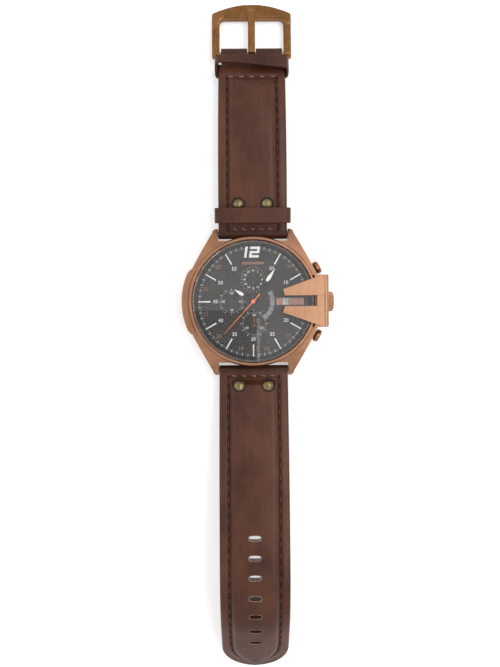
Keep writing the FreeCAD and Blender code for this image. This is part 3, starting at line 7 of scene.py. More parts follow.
import json
import logging
import math
from dataclasses import dataclass, field
from typing import Callable, Iterable, Sequence

import bpy
from mathutils import Matrix, Vector


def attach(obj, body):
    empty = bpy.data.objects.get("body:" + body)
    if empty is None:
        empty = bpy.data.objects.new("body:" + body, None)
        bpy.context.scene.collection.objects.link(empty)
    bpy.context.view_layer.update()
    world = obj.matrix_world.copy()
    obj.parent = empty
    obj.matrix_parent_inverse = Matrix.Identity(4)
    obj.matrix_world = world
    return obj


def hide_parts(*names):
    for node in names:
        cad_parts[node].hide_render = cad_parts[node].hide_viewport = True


log = logging.getLogger("watch")
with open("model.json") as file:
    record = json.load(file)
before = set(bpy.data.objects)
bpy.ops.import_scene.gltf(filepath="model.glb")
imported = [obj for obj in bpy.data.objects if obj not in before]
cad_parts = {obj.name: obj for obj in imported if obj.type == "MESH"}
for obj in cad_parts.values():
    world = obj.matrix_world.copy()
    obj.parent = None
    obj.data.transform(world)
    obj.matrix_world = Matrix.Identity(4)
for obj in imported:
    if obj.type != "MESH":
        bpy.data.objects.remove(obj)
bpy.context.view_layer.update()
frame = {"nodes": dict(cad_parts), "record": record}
Thing = bpy.types.Object
Socket = bpy.types.NodeSocket
Material = bpy.types.Material
RGB = tuple[int, int, int]
MM = 0.001
STRAP_HALF = 12.95  # half the strap's width at the lugs
TAPER = 0.45  # how much narrower each side is at the far end


def mm(*values: float) -> Vector:
    """A vector in metres from millimetres."""
    return Vector([v * MM for v in values])


def tint(red: int, green: int, blue: int) -> tuple[float, float, float, float]:
    """A linear colour from the 0 to 255 values that a screen shows.

    Args:
        red: screen red.
        green: screen green.
        blue: screen blue.

    Returns:
        The linear colour with an alpha of one.
    """
    def linear(v: int) -> float:
        """One channel made linear."""
        c = v / 255
        return c / 12.92 if c <= 0.04045 else ((c + 0.055) / 1.055) ** 2.4

    return linear(red), linear(green), linear(blue), 1.0


# ------------------------------------------------------------------ bench tools
def only(obj: Thing) -> Thing:
    """Leaves one object selected and active, in object mode."""
    if bpy.context.mode != "OBJECT":
        bpy.ops.object.mode_set(mode="OBJECT")
    bpy.ops.object.select_all(action="DESELECT")
    obj.select_set(True)
    bpy.context.view_layer.objects.active = obj
    return obj


def clear_bench() -> None:
    """Deselects everything, ready for a new primitive."""
    if bpy.context.object and bpy.context.mode != "OBJECT":
        bpy.ops.object.mode_set(mode="OBJECT")
    bpy.ops.object.select_all(action="DESELECT")


def made(name: str, primitive: Callable, **settings: object) -> Thing:
    """Makes a primitive, and names it and its mesh."""
    clear_bench()
    primitive(**settings)
    obj = bpy.context.object
    obj.name = name
    obj.data.name = name
    return obj


def open_edit(obj: Thing, select: bool = True) -> None:
    """Opens an object's mesh for editing, with all or nothing selected."""
    only(obj)
    bpy.ops.object.mode_set(mode="EDIT")
    bpy.ops.mesh.select_all(action="SELECT" if select else "DESELECT")


def close_edit() -> None:
    """Leaves edit mode."""
    bpy.ops.object.mode_set(mode="OBJECT")


def thicken(obj: Thing, height_mm: float) -> Thing:
    """Raises a flat mesh to a closed solid that faces outwards."""
    open_edit(obj)
    bpy.ops.mesh.extrude_region_move(TRANSFORM_OT_translate={"value": (0, 0, height_mm * MM)})
    bpy.ops.mesh.select_all(action="SELECT")
    bpy.ops.mesh.normals_make_consistent(inside=False)
    close_edit()
    return obj


def move_points(obj: Thing, place: Callable[[Vector], Vector]) -> None:
    """Moves each vertex of an object to where a function puts it."""
    for vertex in obj.data.vertices:
        vertex.co = place(vertex.co.copy())
    obj.data.update()


def tidy(obj: Thing, merge: float = 1e-6) -> None:
    """Merges doubled points and turns all faces outwards."""
    open_edit(obj)
    bpy.ops.mesh.remove_doubles(threshold=merge)
    bpy.ops.mesh.normals_make_consistent(inside=False)
    close_edit()


def modifier(obj: Thing, kind: str, **settings: object) -> None:
    """Adds a modifier with its settings and applies it."""
    only(obj)
    mod = obj.modifiers.new(kind.title(), kind)
    for key, value in settings.items():
        setattr(mod, key, value)
    bpy.ops.object.modifier_apply(modifier=mod.name)


def bevel(obj: Thing, width_mm: float, degrees: float, segments: int = 2) -> None:
    """Breaks the edges that are sharper than an angle."""
    modifier(obj, "BEVEL", width=width_mm * MM, segments=segments, limit_method="ANGLE",
             angle_limit=math.radians(degrees))


def smooth(obj: Thing, degrees: float) -> None:
    """Shades an object smooth, except over edges sharper than an angle."""
    only(obj)
    bpy.ops.object.shade_smooth_by_angle(angle=math.radians(degrees))


def settle(obj: Thing) -> Thing:
    """Bakes an object's place into its mesh, so that it sits at the origin."""
    only(obj)
    bpy.ops.object.transform_apply(location=True, rotation=True, scale=True)
    return obj


def joined(name: str, parts: Iterable[Thing]) -> Thing:
    """Joins objects into one piece at the origin."""
    parts = list(parts)
    clear_bench()
    for part in parts:
        part.select_set(True)
    bpy.context.view_layer.objects.active = parts[0]
    if len(parts) > 1:
        bpy.ops.object.join()
    obj = bpy.context.object
    obj.name = obj.data.name = name
    return settle(obj)


def copied(obj: Thing, matrix: Matrix) -> Thing:
    """A copy of an object with its own mesh, set in place by a matrix."""
    twin = obj.copy()
    twin.data = obj.data.copy()
    bpy.context.scene.collection.objects.link(twin)
    twin.matrix_world = matrix
    return twin


def discard(obj: Thing) -> None:
    """Removes a master or a cutter that is no longer needed."""
    bpy.data.objects.remove(obj, do_unlink=True)


def subtract(obj: Thing, cutter: Thing) -> None:
    """Cuts one object out of another and removes the cutter."""
    modifier(obj, "BOOLEAN", operation="DIFFERENCE", solver="EXACT", object=cutter)
    discard(cutter)


def dress(obj: Thing, *materials: Material) -> Thing:
    """Gives an object these materials, in slot order."""
    obj.data.materials.clear()
    for material in materials:
        obj.data.materials.append(material)
    return obj


def add_piece(obj: Thing, body: str, slot: str, *stands_for: str) -> Thing:
    """Registers a finished piece with its body and hides the nodes it stands for."""
    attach(obj, body)
    if stands_for:
        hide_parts(*stands_for)
    log.info("%s rides on %s", obj.name, body)
    return obj


def plate(name: str, points: Sequence[tuple[float, float]], z0: float, z1: float) -> Thing:
    """A thin four-cornered plate.

    Args:
        name: name of the object.
        points: its four corners, in order round the plate.
        z0: height of its underside.
        z1: height of its top.

    Returns:
        The plate.
    """
    obj = made(name, bpy.ops.mesh.primitive_plane_add, size=2)
    order = {(-1, -1): 0, (1, -1): 1, (1, 1): 2, (-1, 1): 3}
    move_points(obj, lambda v: mm(*points[order[(round(v.x), round(v.y))]], z0))
    return thicken(obj, z1 - z0)


def block(name: str, x0: float, x1: float, y0: float, y1: float, z0: float, z1: float) -> Thing:
    """A thin plate with its sides along X and Y."""
    return plate(name, ((x0, y0), (x1, y0), (x1, y1), (x0, y1)), z0, z1)


def turned_band(name: str, inner: float, outer: float, z0: float, z1: float, start: float = 0.0,
                sweep: float = 360.0, steps: int = 96, x: float = 0.0, y: float = 0.0) -> Thing:
    """A flat band spun round an upright axis from its cross-section.

    Args:
        name: name of the object.
        inner: inner radius.
        outer: outer radius.
        z0: height of its underside.
        z1: height of its top.
        start: first angle, in degrees from X.
        sweep: angle that it covers.
        steps: number of segments.
        x: place of the axis.
        y: place of the axis.

    Returns:
        The band.
    """
    obj = made(name, bpy.ops.mesh.primitive_plane_add, size=2)
    turn = Matrix.Rotation(math.radians(start), 3, "Z")

    def stand(v: Vector) -> Vector:
        """Stands the plane up as the cross-section."""
        radius = outer if v.x > 0 else inner
        return mm(x, y, z1 if v.y > 0 else z0) + turn @ mm(radius, 0, 0)

    move_points(obj, stand)
    open_edit(obj)
    bpy.ops.mesh.spin(steps=steps, angle=math.radians(sweep), center=mm(x, y, 0), axis=(0, 0, 1))
    bpy.ops.mesh.select_all(action="SELECT")
    bpy.ops.mesh.remove_doubles(threshold=1e-6)
    bpy.ops.mesh.normals_make_consistent(inside=False)
    close_edit()
    return obj


def figures(name: str, entries: Sequence[tuple[str, float, float, float, float]], z0: float, z1: float,
            weight: float = 0.0) -> Thing:
    """Printed figures as thin raised meshes.

    Args:
        name: name of the piece.
        entries: text, x, y, height of the figures and their turn in degrees.
        z0: height of the underside.
        z1: height of the top.
        weight: how much bolder the figures are drawn, as a share of their height.

    Returns:
        One piece with all the figures.
    """
    parts = []
    for text, x, y, height, turn in entries:
        clear_bench()
        bpy.ops.object.text_add(location=mm(x, y, (z0 + z1) / 2), rotation=(0, 0, math.radians(turn)))
        label = bpy.context.object
        label.data.body = text
        label.data.align_x = "CENTER"
        label.data.align_y = "CENTER"
        label.data.size = height * MM / 0.7
        label.data.offset = weight * height * MM
        label.data.extrude = (z1 - z0) / 2 * MM
        label.data.resolution_u = 2
        bpy.ops.object.convert(target="MESH")
        parts.append(bpy.context.object)
    return joined(name, parts)


def polar(radius: float, clock: float) -> tuple[float, float]:
    """The place at a radius and a clockwise angle from twelve o'clock."""
    a = math.radians(clock)
    return radius * math.sin(a), radius * math.cos(a)


# ------------------------------------------------------------------ finishes
class Graph:
    """Short-hand for wiring a node tree."""

    def __init__(self, tree: bpy.types.NodeTree) -> None:
        """Takes the tree to wire."""
        self.tree = tree

    def add(self, kind: str, **settings: object) -> bpy.types.Node:
        """Adds a node with its settings."""
        node = self.tree.nodes.new(kind)
        for key, value in settings.items():
            setattr(node, key, value)
        return node

    def wire(self, source: Socket, target: Socket) -> None:
        """Links two sockets."""
        self.tree.links.new(source, target)

    def math(self, operation: str, a: object, b: object = None) -> Socket:
        """A sum of two values or sockets.

        Args:
            operation: name of the sum.
            a: first value or socket.
            b: second value or socket.

        Returns:
            The result's socket.
        """
        node = self.add("ShaderNodeMath", operation=operation)
        for socket, value in zip(node.inputs, (a, b)):
            if isinstance(value, Socket):
                self.wire(value, socket)
            elif value is not None:
                socket.default_value = value
        return node.outputs[0]

    def span(self, value: Socket, low: float, high: float, to_low: float = 0.0,
             to_high: float = 1.0) -> Socket:
        """Stretches a range of values over another, held at its ends."""
        node = self.add("ShaderNodeMapRange")
        self.wire(value, node.inputs["Value"])
        for key, number in (("From Min", low), ("From Max", high), ("To Min", to_low), ("To Max", to_high)):
            node.inputs[key].default_value = number
        return node.outputs["Result"]

    def blend(self, mask: Socket, a: object, b: object) -> Socket:
        """A mix of two colours or colour sockets by a mask."""
        node = self.add("ShaderNodeMix", data_type="RGBA")
        self.wire(mask, node.inputs[0])
        for socket, value in zip((node.inputs[6], node.inputs[7]), (a, b)):
            if isinstance(value, Socket):
                self.wire(value, socket)
            else:
                socket.default_value = value
        return node.outputs[2]

    def seen(self) -> Socket:
        """One for what the lens sees, straight or through the crystal, and nought elsewhere."""
        rays = self.add("ShaderNodeLightPath")
        mirrored = self.math("MAXIMUM", rays.outputs["Is Glossy Ray"], rays.outputs["Is Transmission Ray"])
        return self.math("MAXIMUM", rays.outputs["Is Camera Ray"], mirrored)

    def bump(self, height: Socket, strength: float, depth_mm: float) -> Socket:
        """A normal from a height."""
        node = self.add("ShaderNodeBump")
        node.inputs["Strength"].default_value = strength
        node.inputs["Distance"].default_value = depth_mm * MM
        self.wire(height, node.inputs["Height"])
        return node.outputs["Normal"]


def stretched_noise_group() -> bpy.types.ShaderNodeTree:
    """The shared effect of noise drawn out along an axis, as a value from 0 to 1."""
    name = "drawn_out_noise"
    if name in bpy.data.node_groups:
        return bpy.data.node_groups[name]
    tree = bpy.data.node_groups.new(name, "ShaderNodeTree")
    tree.interface.new_socket("Vector", in_out="INPUT", socket_type="NodeSocketVector")
    tree.interface.new_socket("Stretch", in_out="INPUT", socket_type="NodeSocketVector")
    tree.interface.new_socket("Detail", in_out="INPUT", socket_type="NodeSocketFloat")
    tree.interface.new_socket("Value", in_out="OUTPUT", socket_type="NodeSocketFloat")
    graph = Graph(tree)
    source, result = graph.add("NodeGroupInput"), graph.add("NodeGroupOutput")
    scaled = graph.add("ShaderNodeVectorMath", operation="MULTIPLY")
    graph.wire(source.outputs["Vector"], scaled.inputs[0])
    graph.wire(source.outputs["Stretch"], scaled.inputs[1])
    noise = graph.add("ShaderNodeTexNoise")
    noise.inputs["Scale"].default_value = 1.0
    noise.inputs["Roughness"].default_value = 0.6
    graph.wire(scaled.outputs[0], noise.inputs["Vector"])
    graph.wire(source.outputs["Detail"], noise.inputs["Detail"])
    graph.wire(graph.span(noise.outputs[0], 0.3, 0.7), result.inputs["Value"])
    return tree


class Finish:
    """What all finishes share: a material, its shader and its coordinates."""

    name: str

    def open(self) -> tuple[Material, Graph, bpy.types.Node, Socket]:
        """Starts a material with a principled shader and the object's coordinates."""
        material = bpy.data.materials.new(self.name)
        material.use_nodes = True
        graph = Graph(material.node_tree)
        shader = material.node_tree.nodes["Principled BSDF"]
        place = graph.add("ShaderNodeTexCoord").outputs["Object"]
        return material, graph, shader, place

    def colour(self, graph: Graph, mask: Socket, shader: bpy.types.Node) -> None:
        """Runs the base colour from dark to light by a mask."""
        graph.wire(graph.blend(mask, tint(*self.dark), tint(*self.light)), shader.inputs["Base Color"])

    @staticmethod
    def noise(graph: Graph, place: Socket, stretch: Sequence[float],
              detail: float = 3.0) -> Socket:
        """Noise drawn out by cycles per metre along each axis."""
        node = graph.add("ShaderNodeGroup")
        node.node_tree = stretched_noise_group()
        node.inputs["Stretch"].default_value = stretch
        node.inputs["Detail"].default_value = detail
        graph.wire(place, node.inputs["Vector"])
        return node.outputs["Value"]


@dataclass(frozen=True)
class Metal(Finish):
    """Brushed or satin metal, with brush lines and a little patina."""

    name: str
    dark: RGB
    light: RGB
    roughness: float = 0.3
    lay: tuple[float, float, float] = (150.0, 6000.0, 6000.0)
    line_depth: float = 0.15
    metallic: float = 1.0

    def build(self) -> Material:
        """Makes the material."""
        material, graph, shader, place = self.open()
        lines = self.noise(graph, place, self.lay, 2.0)
        patina = self.noise(graph, place, (160.0, 160.0, 160.0), 4.0)
        mask = graph.math("MULTIPLY_ADD", lines, 0.45)
        graph.wire(graph.math("MULTIPLY", patina, 0.55), mask.node.inputs[2])
        self.colour(graph, mask, shader)
        graph.wire(graph.span(mask, 0.0, 1.0, self.roughness + 0.07, self.roughness - 0.05),
                   shader.inputs["Roughness"])
        graph.wire(graph.bump(lines, self.line_depth, 0.02), shader.inputs["Normal"])
        shader.inputs["Metallic"].default_value = self.metallic
        return material


@dataclass(frozen=True)
class Moulded(Finish):
    """Plastic, rubber, paint or enamel with a fine surface."""

    name: str
    dark: RGB
    light: RGB
    roughness: float = 0.45
    metallic: float = 0.0

    def build(self) -> Material:
        """Makes the material."""
        material, graph, shader, place = self.open()
        fine = self.noise(graph, place, (5000.0, 5000.0, 5000.0), 2.0)
        broad = self.noise(graph, place, (300.0, 300.0, 300.0), 3.0)
        self.colour(graph, broad, shader)
        graph.wire(graph.span(fine, 0.0, 1.0, self.roughness - 0.06, self.roughness + 0.06),
                   shader.inputs["Roughness"])
        graph.wire(graph.bump(fine, 0.08, 0.02), shader.inputs["Normal"])
        shader.inputs["Metallic"].default_value = self.metallic
        return material


@dataclass(frozen=True)
class Sunray(Finish):
    """The dial's dark satin, brushed outwards from its centre."""

    name: str = "dial_sunray"
    dark: RGB = (30, 28, 27)
    light: RGB = (60, 56, 52)

    def build(self) -> Material:
        """Makes the material."""
        material, graph, shader, place = self.open()
        flat = graph.add("ShaderNodeVectorMath", operation="MULTIPLY")
        flat.inputs[1].default_value = (1.0, 1.0, 0.0)
        graph.wire(place, flat.inputs[0])
        ray = graph.add("ShaderNodeVectorMath", operation="NORMALIZE")
        graph.wire(flat.outputs[0], ray.inputs[0])
        fine = self.noise(graph, ray.outputs[0], (55.0, 55.0, 1.0), 4.0)
        broad = self.noise(graph, ray.outputs[0], (3.2, 3.2, 1.0), 1.0)
        speck = self.noise(graph, place, (2600.0, 2600.0, 2600.0), 2.0)
        mask = graph.math("ADD", graph.math("ADD", fine, broad), graph.math("MULTIPLY", speck, 0.6))
        mask = graph.math("MULTIPLY", mask, 0.38)
        self.colour(graph, mask, shader)
        graph.wire(graph.span(fine, 0.0, 1.0, 0.38, 0.5), shader.inputs["Roughness"])
        graph.wire(graph.bump(fine, 0.06, 0.01), shader.inputs["Normal"])
        shader.inputs["Metallic"].default_value = 0.3
        shader.inputs["Specular IOR Level"].default_value = 0.2
        return material


@dataclass(frozen=True)
class Leather(Finish):
    """Oiled leather: grain, pulled streaks, creases, dyed edges, and painted shade in the seams and at the
    strap's ends.
    """

    name: str
    deep: RGB = (66, 34, 22)
    body: RGB = (96, 56, 39)
    worn: RGB = (122, 80, 58)
    roughness: float = 0.34
    along: float = 1.0

    def build(self) -> Material:
        """Makes the material. The mesh may carry a point value named seam, holding its edge dye and painted
        shade, that darkens it.
        """
        material, graph, shader, place = self.open()
        blotch = self.noise(graph, place, (70.0, 45.0, 70.0), 4.0)
        streak = self.noise(graph, place, (900.0, 90.0 / self.along, 300.0), 3.0)
        crease = self.noise(graph, place, (130.0, 1100.0 / self.along, 200.0), 3.0)
        grain = graph.add("ShaderNodeTexVoronoi", feature="F1")
        grain.inputs["Scale"].default_value = 2100.0
        graph.wire(place, grain.inputs["Vector"])
        pores = graph.span(grain.outputs["Distance"], 0.1, 0.75)
        colour = graph.blend(blotch, tint(*self.deep), tint(*self.body))
        rubbed = graph.math("MULTIPLY", graph.math("MULTIPLY", streak, blotch), 0.28)
        colour = graph.blend(rubbed, colour, tint(*self.worn))
        seam = graph.add("ShaderNodeAttribute", attribute_name="seam")
        # darkens by the seam value: real edge dye, plus painted shade in the grooves, the cross seams and at
        # the strap's ends
        colour = graph.blend(graph.math("MULTIPLY", seam.outputs["Fac"], 0.85), colour, tint(34, 18, 13))
        graph.wire(colour, shader.inputs["Base Color"])
        rough = graph.math("ADD", graph.span(blotch, 0.0, 1.0, self.roughness - 0.05, self.roughness + 0.06),
                           graph.span(pores, 0.0, 1.0, -0.04, 0.05))
        graph.wire(rough, shader.inputs["Roughness"])
        height = graph.math("ADD", graph.math("MULTIPLY", pores, -0.5), graph.math("MULTIPLY", crease, 0.55))
        height = graph.math("ADD", height, graph.math("MULTIPLY", streak, 0.14))
        graph.wire(graph.bump(height, 0.35, 0.09), shader.inputs["Normal"])
        shader.inputs["Specular IOR Level"].default_value = 0.24
        return material


@dataclass(frozen=True)
class Thread(Finish):
    """Waxed thread with its twist."""

    name: str
    dark: RGB
    light: RGB

    def build(self) -> Material:
        """Makes the material."""
        material, graph, shader, place = self.open()
        twist = graph.add("ShaderNodeTexWave", wave_type="BANDS", bands_direction="DIAGONAL")
        twist.inputs["Scale"].default_value = 900.0
        graph.wire(place, twist.inputs["Vector"])
        wax = self.noise(graph, place, (900.0, 900.0, 900.0), 3.0)
        mask = graph.math("MULTIPLY", graph.math("ADD", twist.outputs["Fac"], wax), 0.5)
        self.colour(graph, mask, shader)
        graph.wire(graph.bump(twist.outputs["Fac"], 0.4, 0.05), shader.inputs["Normal"])
        shader.inputs["Roughness"].default_value = 0.6
        return material


@dataclass(frozen=True)
class ClearGlass(Finish):
    """Mineral glass that lets light fall through to the dial."""

    name: str = "crystal_glass"

    def build(self) -> Material:
        """Makes the material."""
        material, graph, shader, place = self.open()
        shader.inputs["Transmission Weight"].default_value = 1.0
        shader.inputs["IOR"].default_value = 1.5
        shader.inputs["Specular IOR Level"].default_value = 0.22
        smear = self.noise(graph, place, (90.0, 240.0, 90.0), 4.0)
        graph.wire(graph.blend(smear, (0.96, 0.97, 0.975, 1.0), (0.99, 0.99, 0.99, 1.0)),
                   shader.inputs["Base Color"])
        shader.inputs["Roughness"].default_value = 0.0
        clear = graph.add("ShaderNodeBsdfTransparent")
        mix = graph.add("ShaderNodeMixShader")
        rays = graph.add("ShaderNodeLightPath")
        graph.wire(rays.outputs["Is Shadow Ray"], mix.inputs[0])
        graph.wire(shader.outputs[0], mix.inputs[1])
        graph.wire(clear.outputs[0], mix.inputs[2])
        graph.wire(mix.outputs[0], material.node_tree.nodes["Material Output"].inputs["Surface"])
        return material


class Palette:
    """All finishes, built once and looked up by the record's slot names."""

    def __init__(self) -> None:
        """Builds every finish."""
        across = (150.0, 6000.0, 6000.0)
        even = (3000.0, 3000.0, 3000.0)
        finishes = {
            "case_metal": Metal("rose_gold_case", (134, 95, 71), (178, 132, 104), 0.34, across, 0.25),
            "guard_metal": Metal("rose_gold_guard", (158, 118, 92), (186, 144, 114), 0.38,
                                 (6000.0, 150.0, 6000.0), 0.16),
            "crown_metal": Metal("rose_gold_crown", (118, 82, 62), (166, 122, 95), 0.32, across, 0.2),
            "back_steel": Metal("steel_back", (150, 150, 152), (190, 190, 192), 0.32,
                                (6000.0, 150.0, 6000.0), 0.2),
            "steel": Metal("plain_steel", (140, 140, 142), (178, 178, 180), 0.3, even, 0.05),
            "spring_steel": Metal("bright_spring_steel", (170, 172, 176), (205, 206, 210), 0.2, even, 0.05),
            "gasket_rubber": Moulded("gasket_rubber", (16, 16, 17), (30, 30, 31), 0.6),
            "flange_black": Moulded("flange_satin_black", (14, 15, 16), (26, 27, 29), 0.4),
            "marker_white": Moulded("marker_enamel", (212, 211, 206), (236, 235, 230), 0.35),
            "copper_trim": Metal("date_strip_copper", (128, 92, 78), (176, 136, 118), 0.42, across, 0.1, 0.6),
            "date_white": Moulded("date_ring_white", (206, 206, 204), (232, 232, 230), 0.6),
            "holder_plastic": Moulded("holder_plastic", (196, 196, 190), (222, 222, 214), 0.5),
            "plate_nickel": Metal("nickel_plate", (160, 156, 144), (204, 200, 186), 0.28,
                                  (400.0, 5000.0, 5000.0), 0.2),
            "board_green": Moulded("solder_mask_green", (8, 52, 26), (18, 78, 40), 0.4),
            "cell_steel": Metal("cell_steel", (165, 165, 168), (205, 205, 208), 0.24, even, 0.05),
            "coil_copper": Metal("coil_copper", (150, 76, 44), (206, 120, 76), 0.34,
                                 (8000.0, 200.0, 200.0), 0.4),
            "magnet": Moulded("sintered_magnet", (52, 52, 55), (78, 78, 82), 0.5, 0.8),
            "wheel_brass": Metal("gilt_brass", (176, 138, 66), (224, 190, 110), 0.26, even, 0.08),
            "hand_white": Metal("hand_dark_metal", (28, 26, 26), (58, 52, 50), 0.32, across, 0.05),
            "hand_orange": Moulded("hand_orange_enamel", (226, 98, 34), (246, 132, 62), 0.35),
            "hand_copper": Metal("register_hand_copper", (78, 40, 28), (128, 74, 54), 0.35, even, 0.05, 0.7),
            "rivet_brass": Metal("antique_brass", (66, 54, 36), (158, 140, 102), 0.34,
                                 (900.0, 900.0, 900.0), 0.25),
            "buckle_bronze": Metal("antique_bronze", (88, 58, 34), (158, 112, 68), 0.24,
                                   (5000.0, 200.0, 5000.0), 0.2),
            "strap_leather": Leather("strap_leather"),
            "keeper_leather": Leather("keeper_leather", (58, 29, 20), (86, 48, 35), (108, 70, 52), 0.36, 0.2),
            "lining": Leather("strap_lining", (112, 84, 66), (140, 108, 86), (158, 126, 102), 0.6),
            "raw_edge": Leather("raw_leather_edge", (120, 94, 80), (168, 142, 126), (190, 168, 152), 0.6),
            "thread_rust": Thread("thread_rust", (52, 25, 18), (98, 54, 40)),
            "thread_tan": Thread("thread_tan", (104, 64, 50), (164, 120, 100)),
            # near-black finish of painted shade, for the needle-hole marks and the rings round the rivets
            "needle_hole_shade": Moulded("needle_hole_shade", (20, 10, 8), (34, 18, 14), 0.8),
            "ink_white": Moulded("ink_white", (188, 190, 190), (214, 215, 214), 0.5),
            "ink_grey": Moulded("ink_grey", (128, 132, 138), (150, 154, 160), 0.5),
            "ink_copper": Moulded("ink_copper", (112, 72, 56), (134, 90, 72), 0.5),
            "ink_black": Moulded("ink_black", (16, 16, 17), (26, 26, 27), 0.5),
            "register_brown": Moulded("register_brown", (92, 54, 40), (118, 72, 52), 0.4),
            "register_red": Moulded("register_red", (190, 78, 56), (214, 102, 76), 0.4),
            "satin_arc": Metal("satin_arc_grey", (92, 94, 98), (138, 140, 144), 0.4, even, 0.1, 0.5),
            "lume": Moulded("lume_white", (224, 222, 214), (244, 242, 234), 0.5),
            "dial_grey": Sunray(),
            "crystal_glass": ClearGlass(),
        }
        self.materials = {key: finish.build() for key, finish in finishes.items()}

    def __getitem__(self, key: str) -> Material:
        """The material of a slot."""
        return self.materials[key]

    def dress_frame(self) -> None:
        """Puts each slot's finish on the engineering nodes."""
        for part in frame["record"]["subparts"]:
            dress(frame["nodes"][part["node"]], self[part["material_slot"]])


# ------------------------------------------------------------------ metal parts
@dataclass
class SoftenedMetal:
    """The visible metal parts, with their sharp edges broken as a polisher would."""

    edge_mm: dict[str, float] = field(default_factory=lambda: {
        "case_middle": 0.3, "bezel": 0.28, "crown_guard_upper": 0.28, "crown_guard_lower": 0.28,
        "crown_guard_bridge": 0.25, "crown": 0.12, "pusher_upper": 0.2, "pusher_lower": 0.2,
        "hour_markers": 0.05, "case_back": 0.15})
    cast_rounds: dict[str, int] = field(default_factory=lambda: {"buckle_frame": 26, "buckle_tongue": 12})
    cast_grain: float = 0.22

    def build(self, palette: Palette) -> None:
        """Rounds the cast parts all over and bevels the edges of the turned and milled ones."""
        for node, rounds in self.cast_rounds.items():
            twin = self.twin(node)
            modifier(twin, "REMESH", mode="VOXEL", voxel_size=self.cast_grain * MM)
            modifier(twin, "SMOOTH", factor=0.5, iterations=rounds)
            smooth(twin, 80)
            self.register(twin, node, palette)
        for node, width in self.edge_mm.items():
            twin = self.twin(node)
            bevel(twin, width, 32, 3)
            smooth(twin, 55)
            modifier(twin, "WEIGHTED_NORMAL", mode="FACE_AREA", weight=100, keep_sharp=True)
            self.register(twin, node, palette)

    @staticmethod
    def register(twin: Thing, node: str, palette: Palette) -> None:
        """Dresses a copy as its node is dressed, and puts it in the node's place."""
        slot = next(p["material_slot"] for p in frame["record"]["subparts"] if p["node"] == node)
        bodies = frame["record"]["behaviour"]["bodies"]
        dress(twin, palette[slot])
        add_piece(twin, next(b for b, members in bodies.items() if node in members), slot, node)

    @staticmethod
    def twin(node: str) -> Thing:
        """A merged copy of a node's mesh, ready for its edges to be broken.

        Args:
            node: the engineering node to copy.

        Returns:
            The copy, closed and facing outwards.
        """
        clear_bench()
        twin = bpy.data.objects.new(node + "_softened", frame["nodes"][node].data.copy())
        bpy.context.scene.collection.objects.link(twin)
        only(twin)
        bpy.ops.mesh.customdata_custom_splitnormals_clear()
        open_edit(twin)
        bpy.ops.mesh.remove_doubles(threshold=1e-6)
        bpy.ops.mesh.dissolve_limited(angle_limit=math.radians(0.8))
        bpy.ops.mesh.normals_make_consistent(inside=False)
        close_edit()
        return twin


# ------------------------------------------------------------------ leather
@dataclass
class StrapLine:
    """Side-view middle line of a strap half, as arcs that bend down from its spring bar."""

    sign: int
    slope: float
    segments: tuple[tuple[float, float], ...]
    start_u: float = 25.7
    start_z: float = 4.2

    @property
    def length(self) -> float:
        """Length of the whole line."""
        return sum(s[0] for s in self.segments)

    def at(self, s: float) -> tuple[float, float, float]:
        """Distance outwards, height and slope at a length along the line."""
        u, z, a, left = self.start_u, self.start_z, self.slope, s
        for k, (length, radius) in enumerate(self.segments):
            step = left if k == len(self.segments) - 1 else min(left, length)
            if radius:
                b = a - step / radius
                u += radius * (math.sin(a) - math.sin(b))
                z += radius * (math.cos(b) - math.cos(a))
                a = b
            else:
                u += step * math.cos(a)
                z += step * math.sin(a)
            left -= step
            if left <= 1e-9:
                break
        return u, z, a

    def point(self, x: float, s: float, lift: float) -> Vector:
        """A place on the strap, in metres."""
        u, z, a = self.at(s)
        return mm(x, self.sign * (u - lift * math.sin(a)), z + lift * math.cos(a))

    def frame_at(self, x: float, s: float, lift: float, turn: float = 0.0) -> Matrix:
        """A placing matrix whose Y runs along the strap and whose Z stands off it."""
        _, _, a = self.at(s)
        rest = Matrix.Rotation(a * self.sign, 4, "X") @ Matrix.Rotation(turn, 4, "Z")
        return Matrix.Translation(self.point(x, s, lift)) @ rest


def ease(value: float, low: float, high: float) -> float:
    """A soft step from 0 to 1 between two values."""
    t = min(1.0, max(0.0, (value - low) / (high - low)))
    return t * t * (3 - 2 * t)


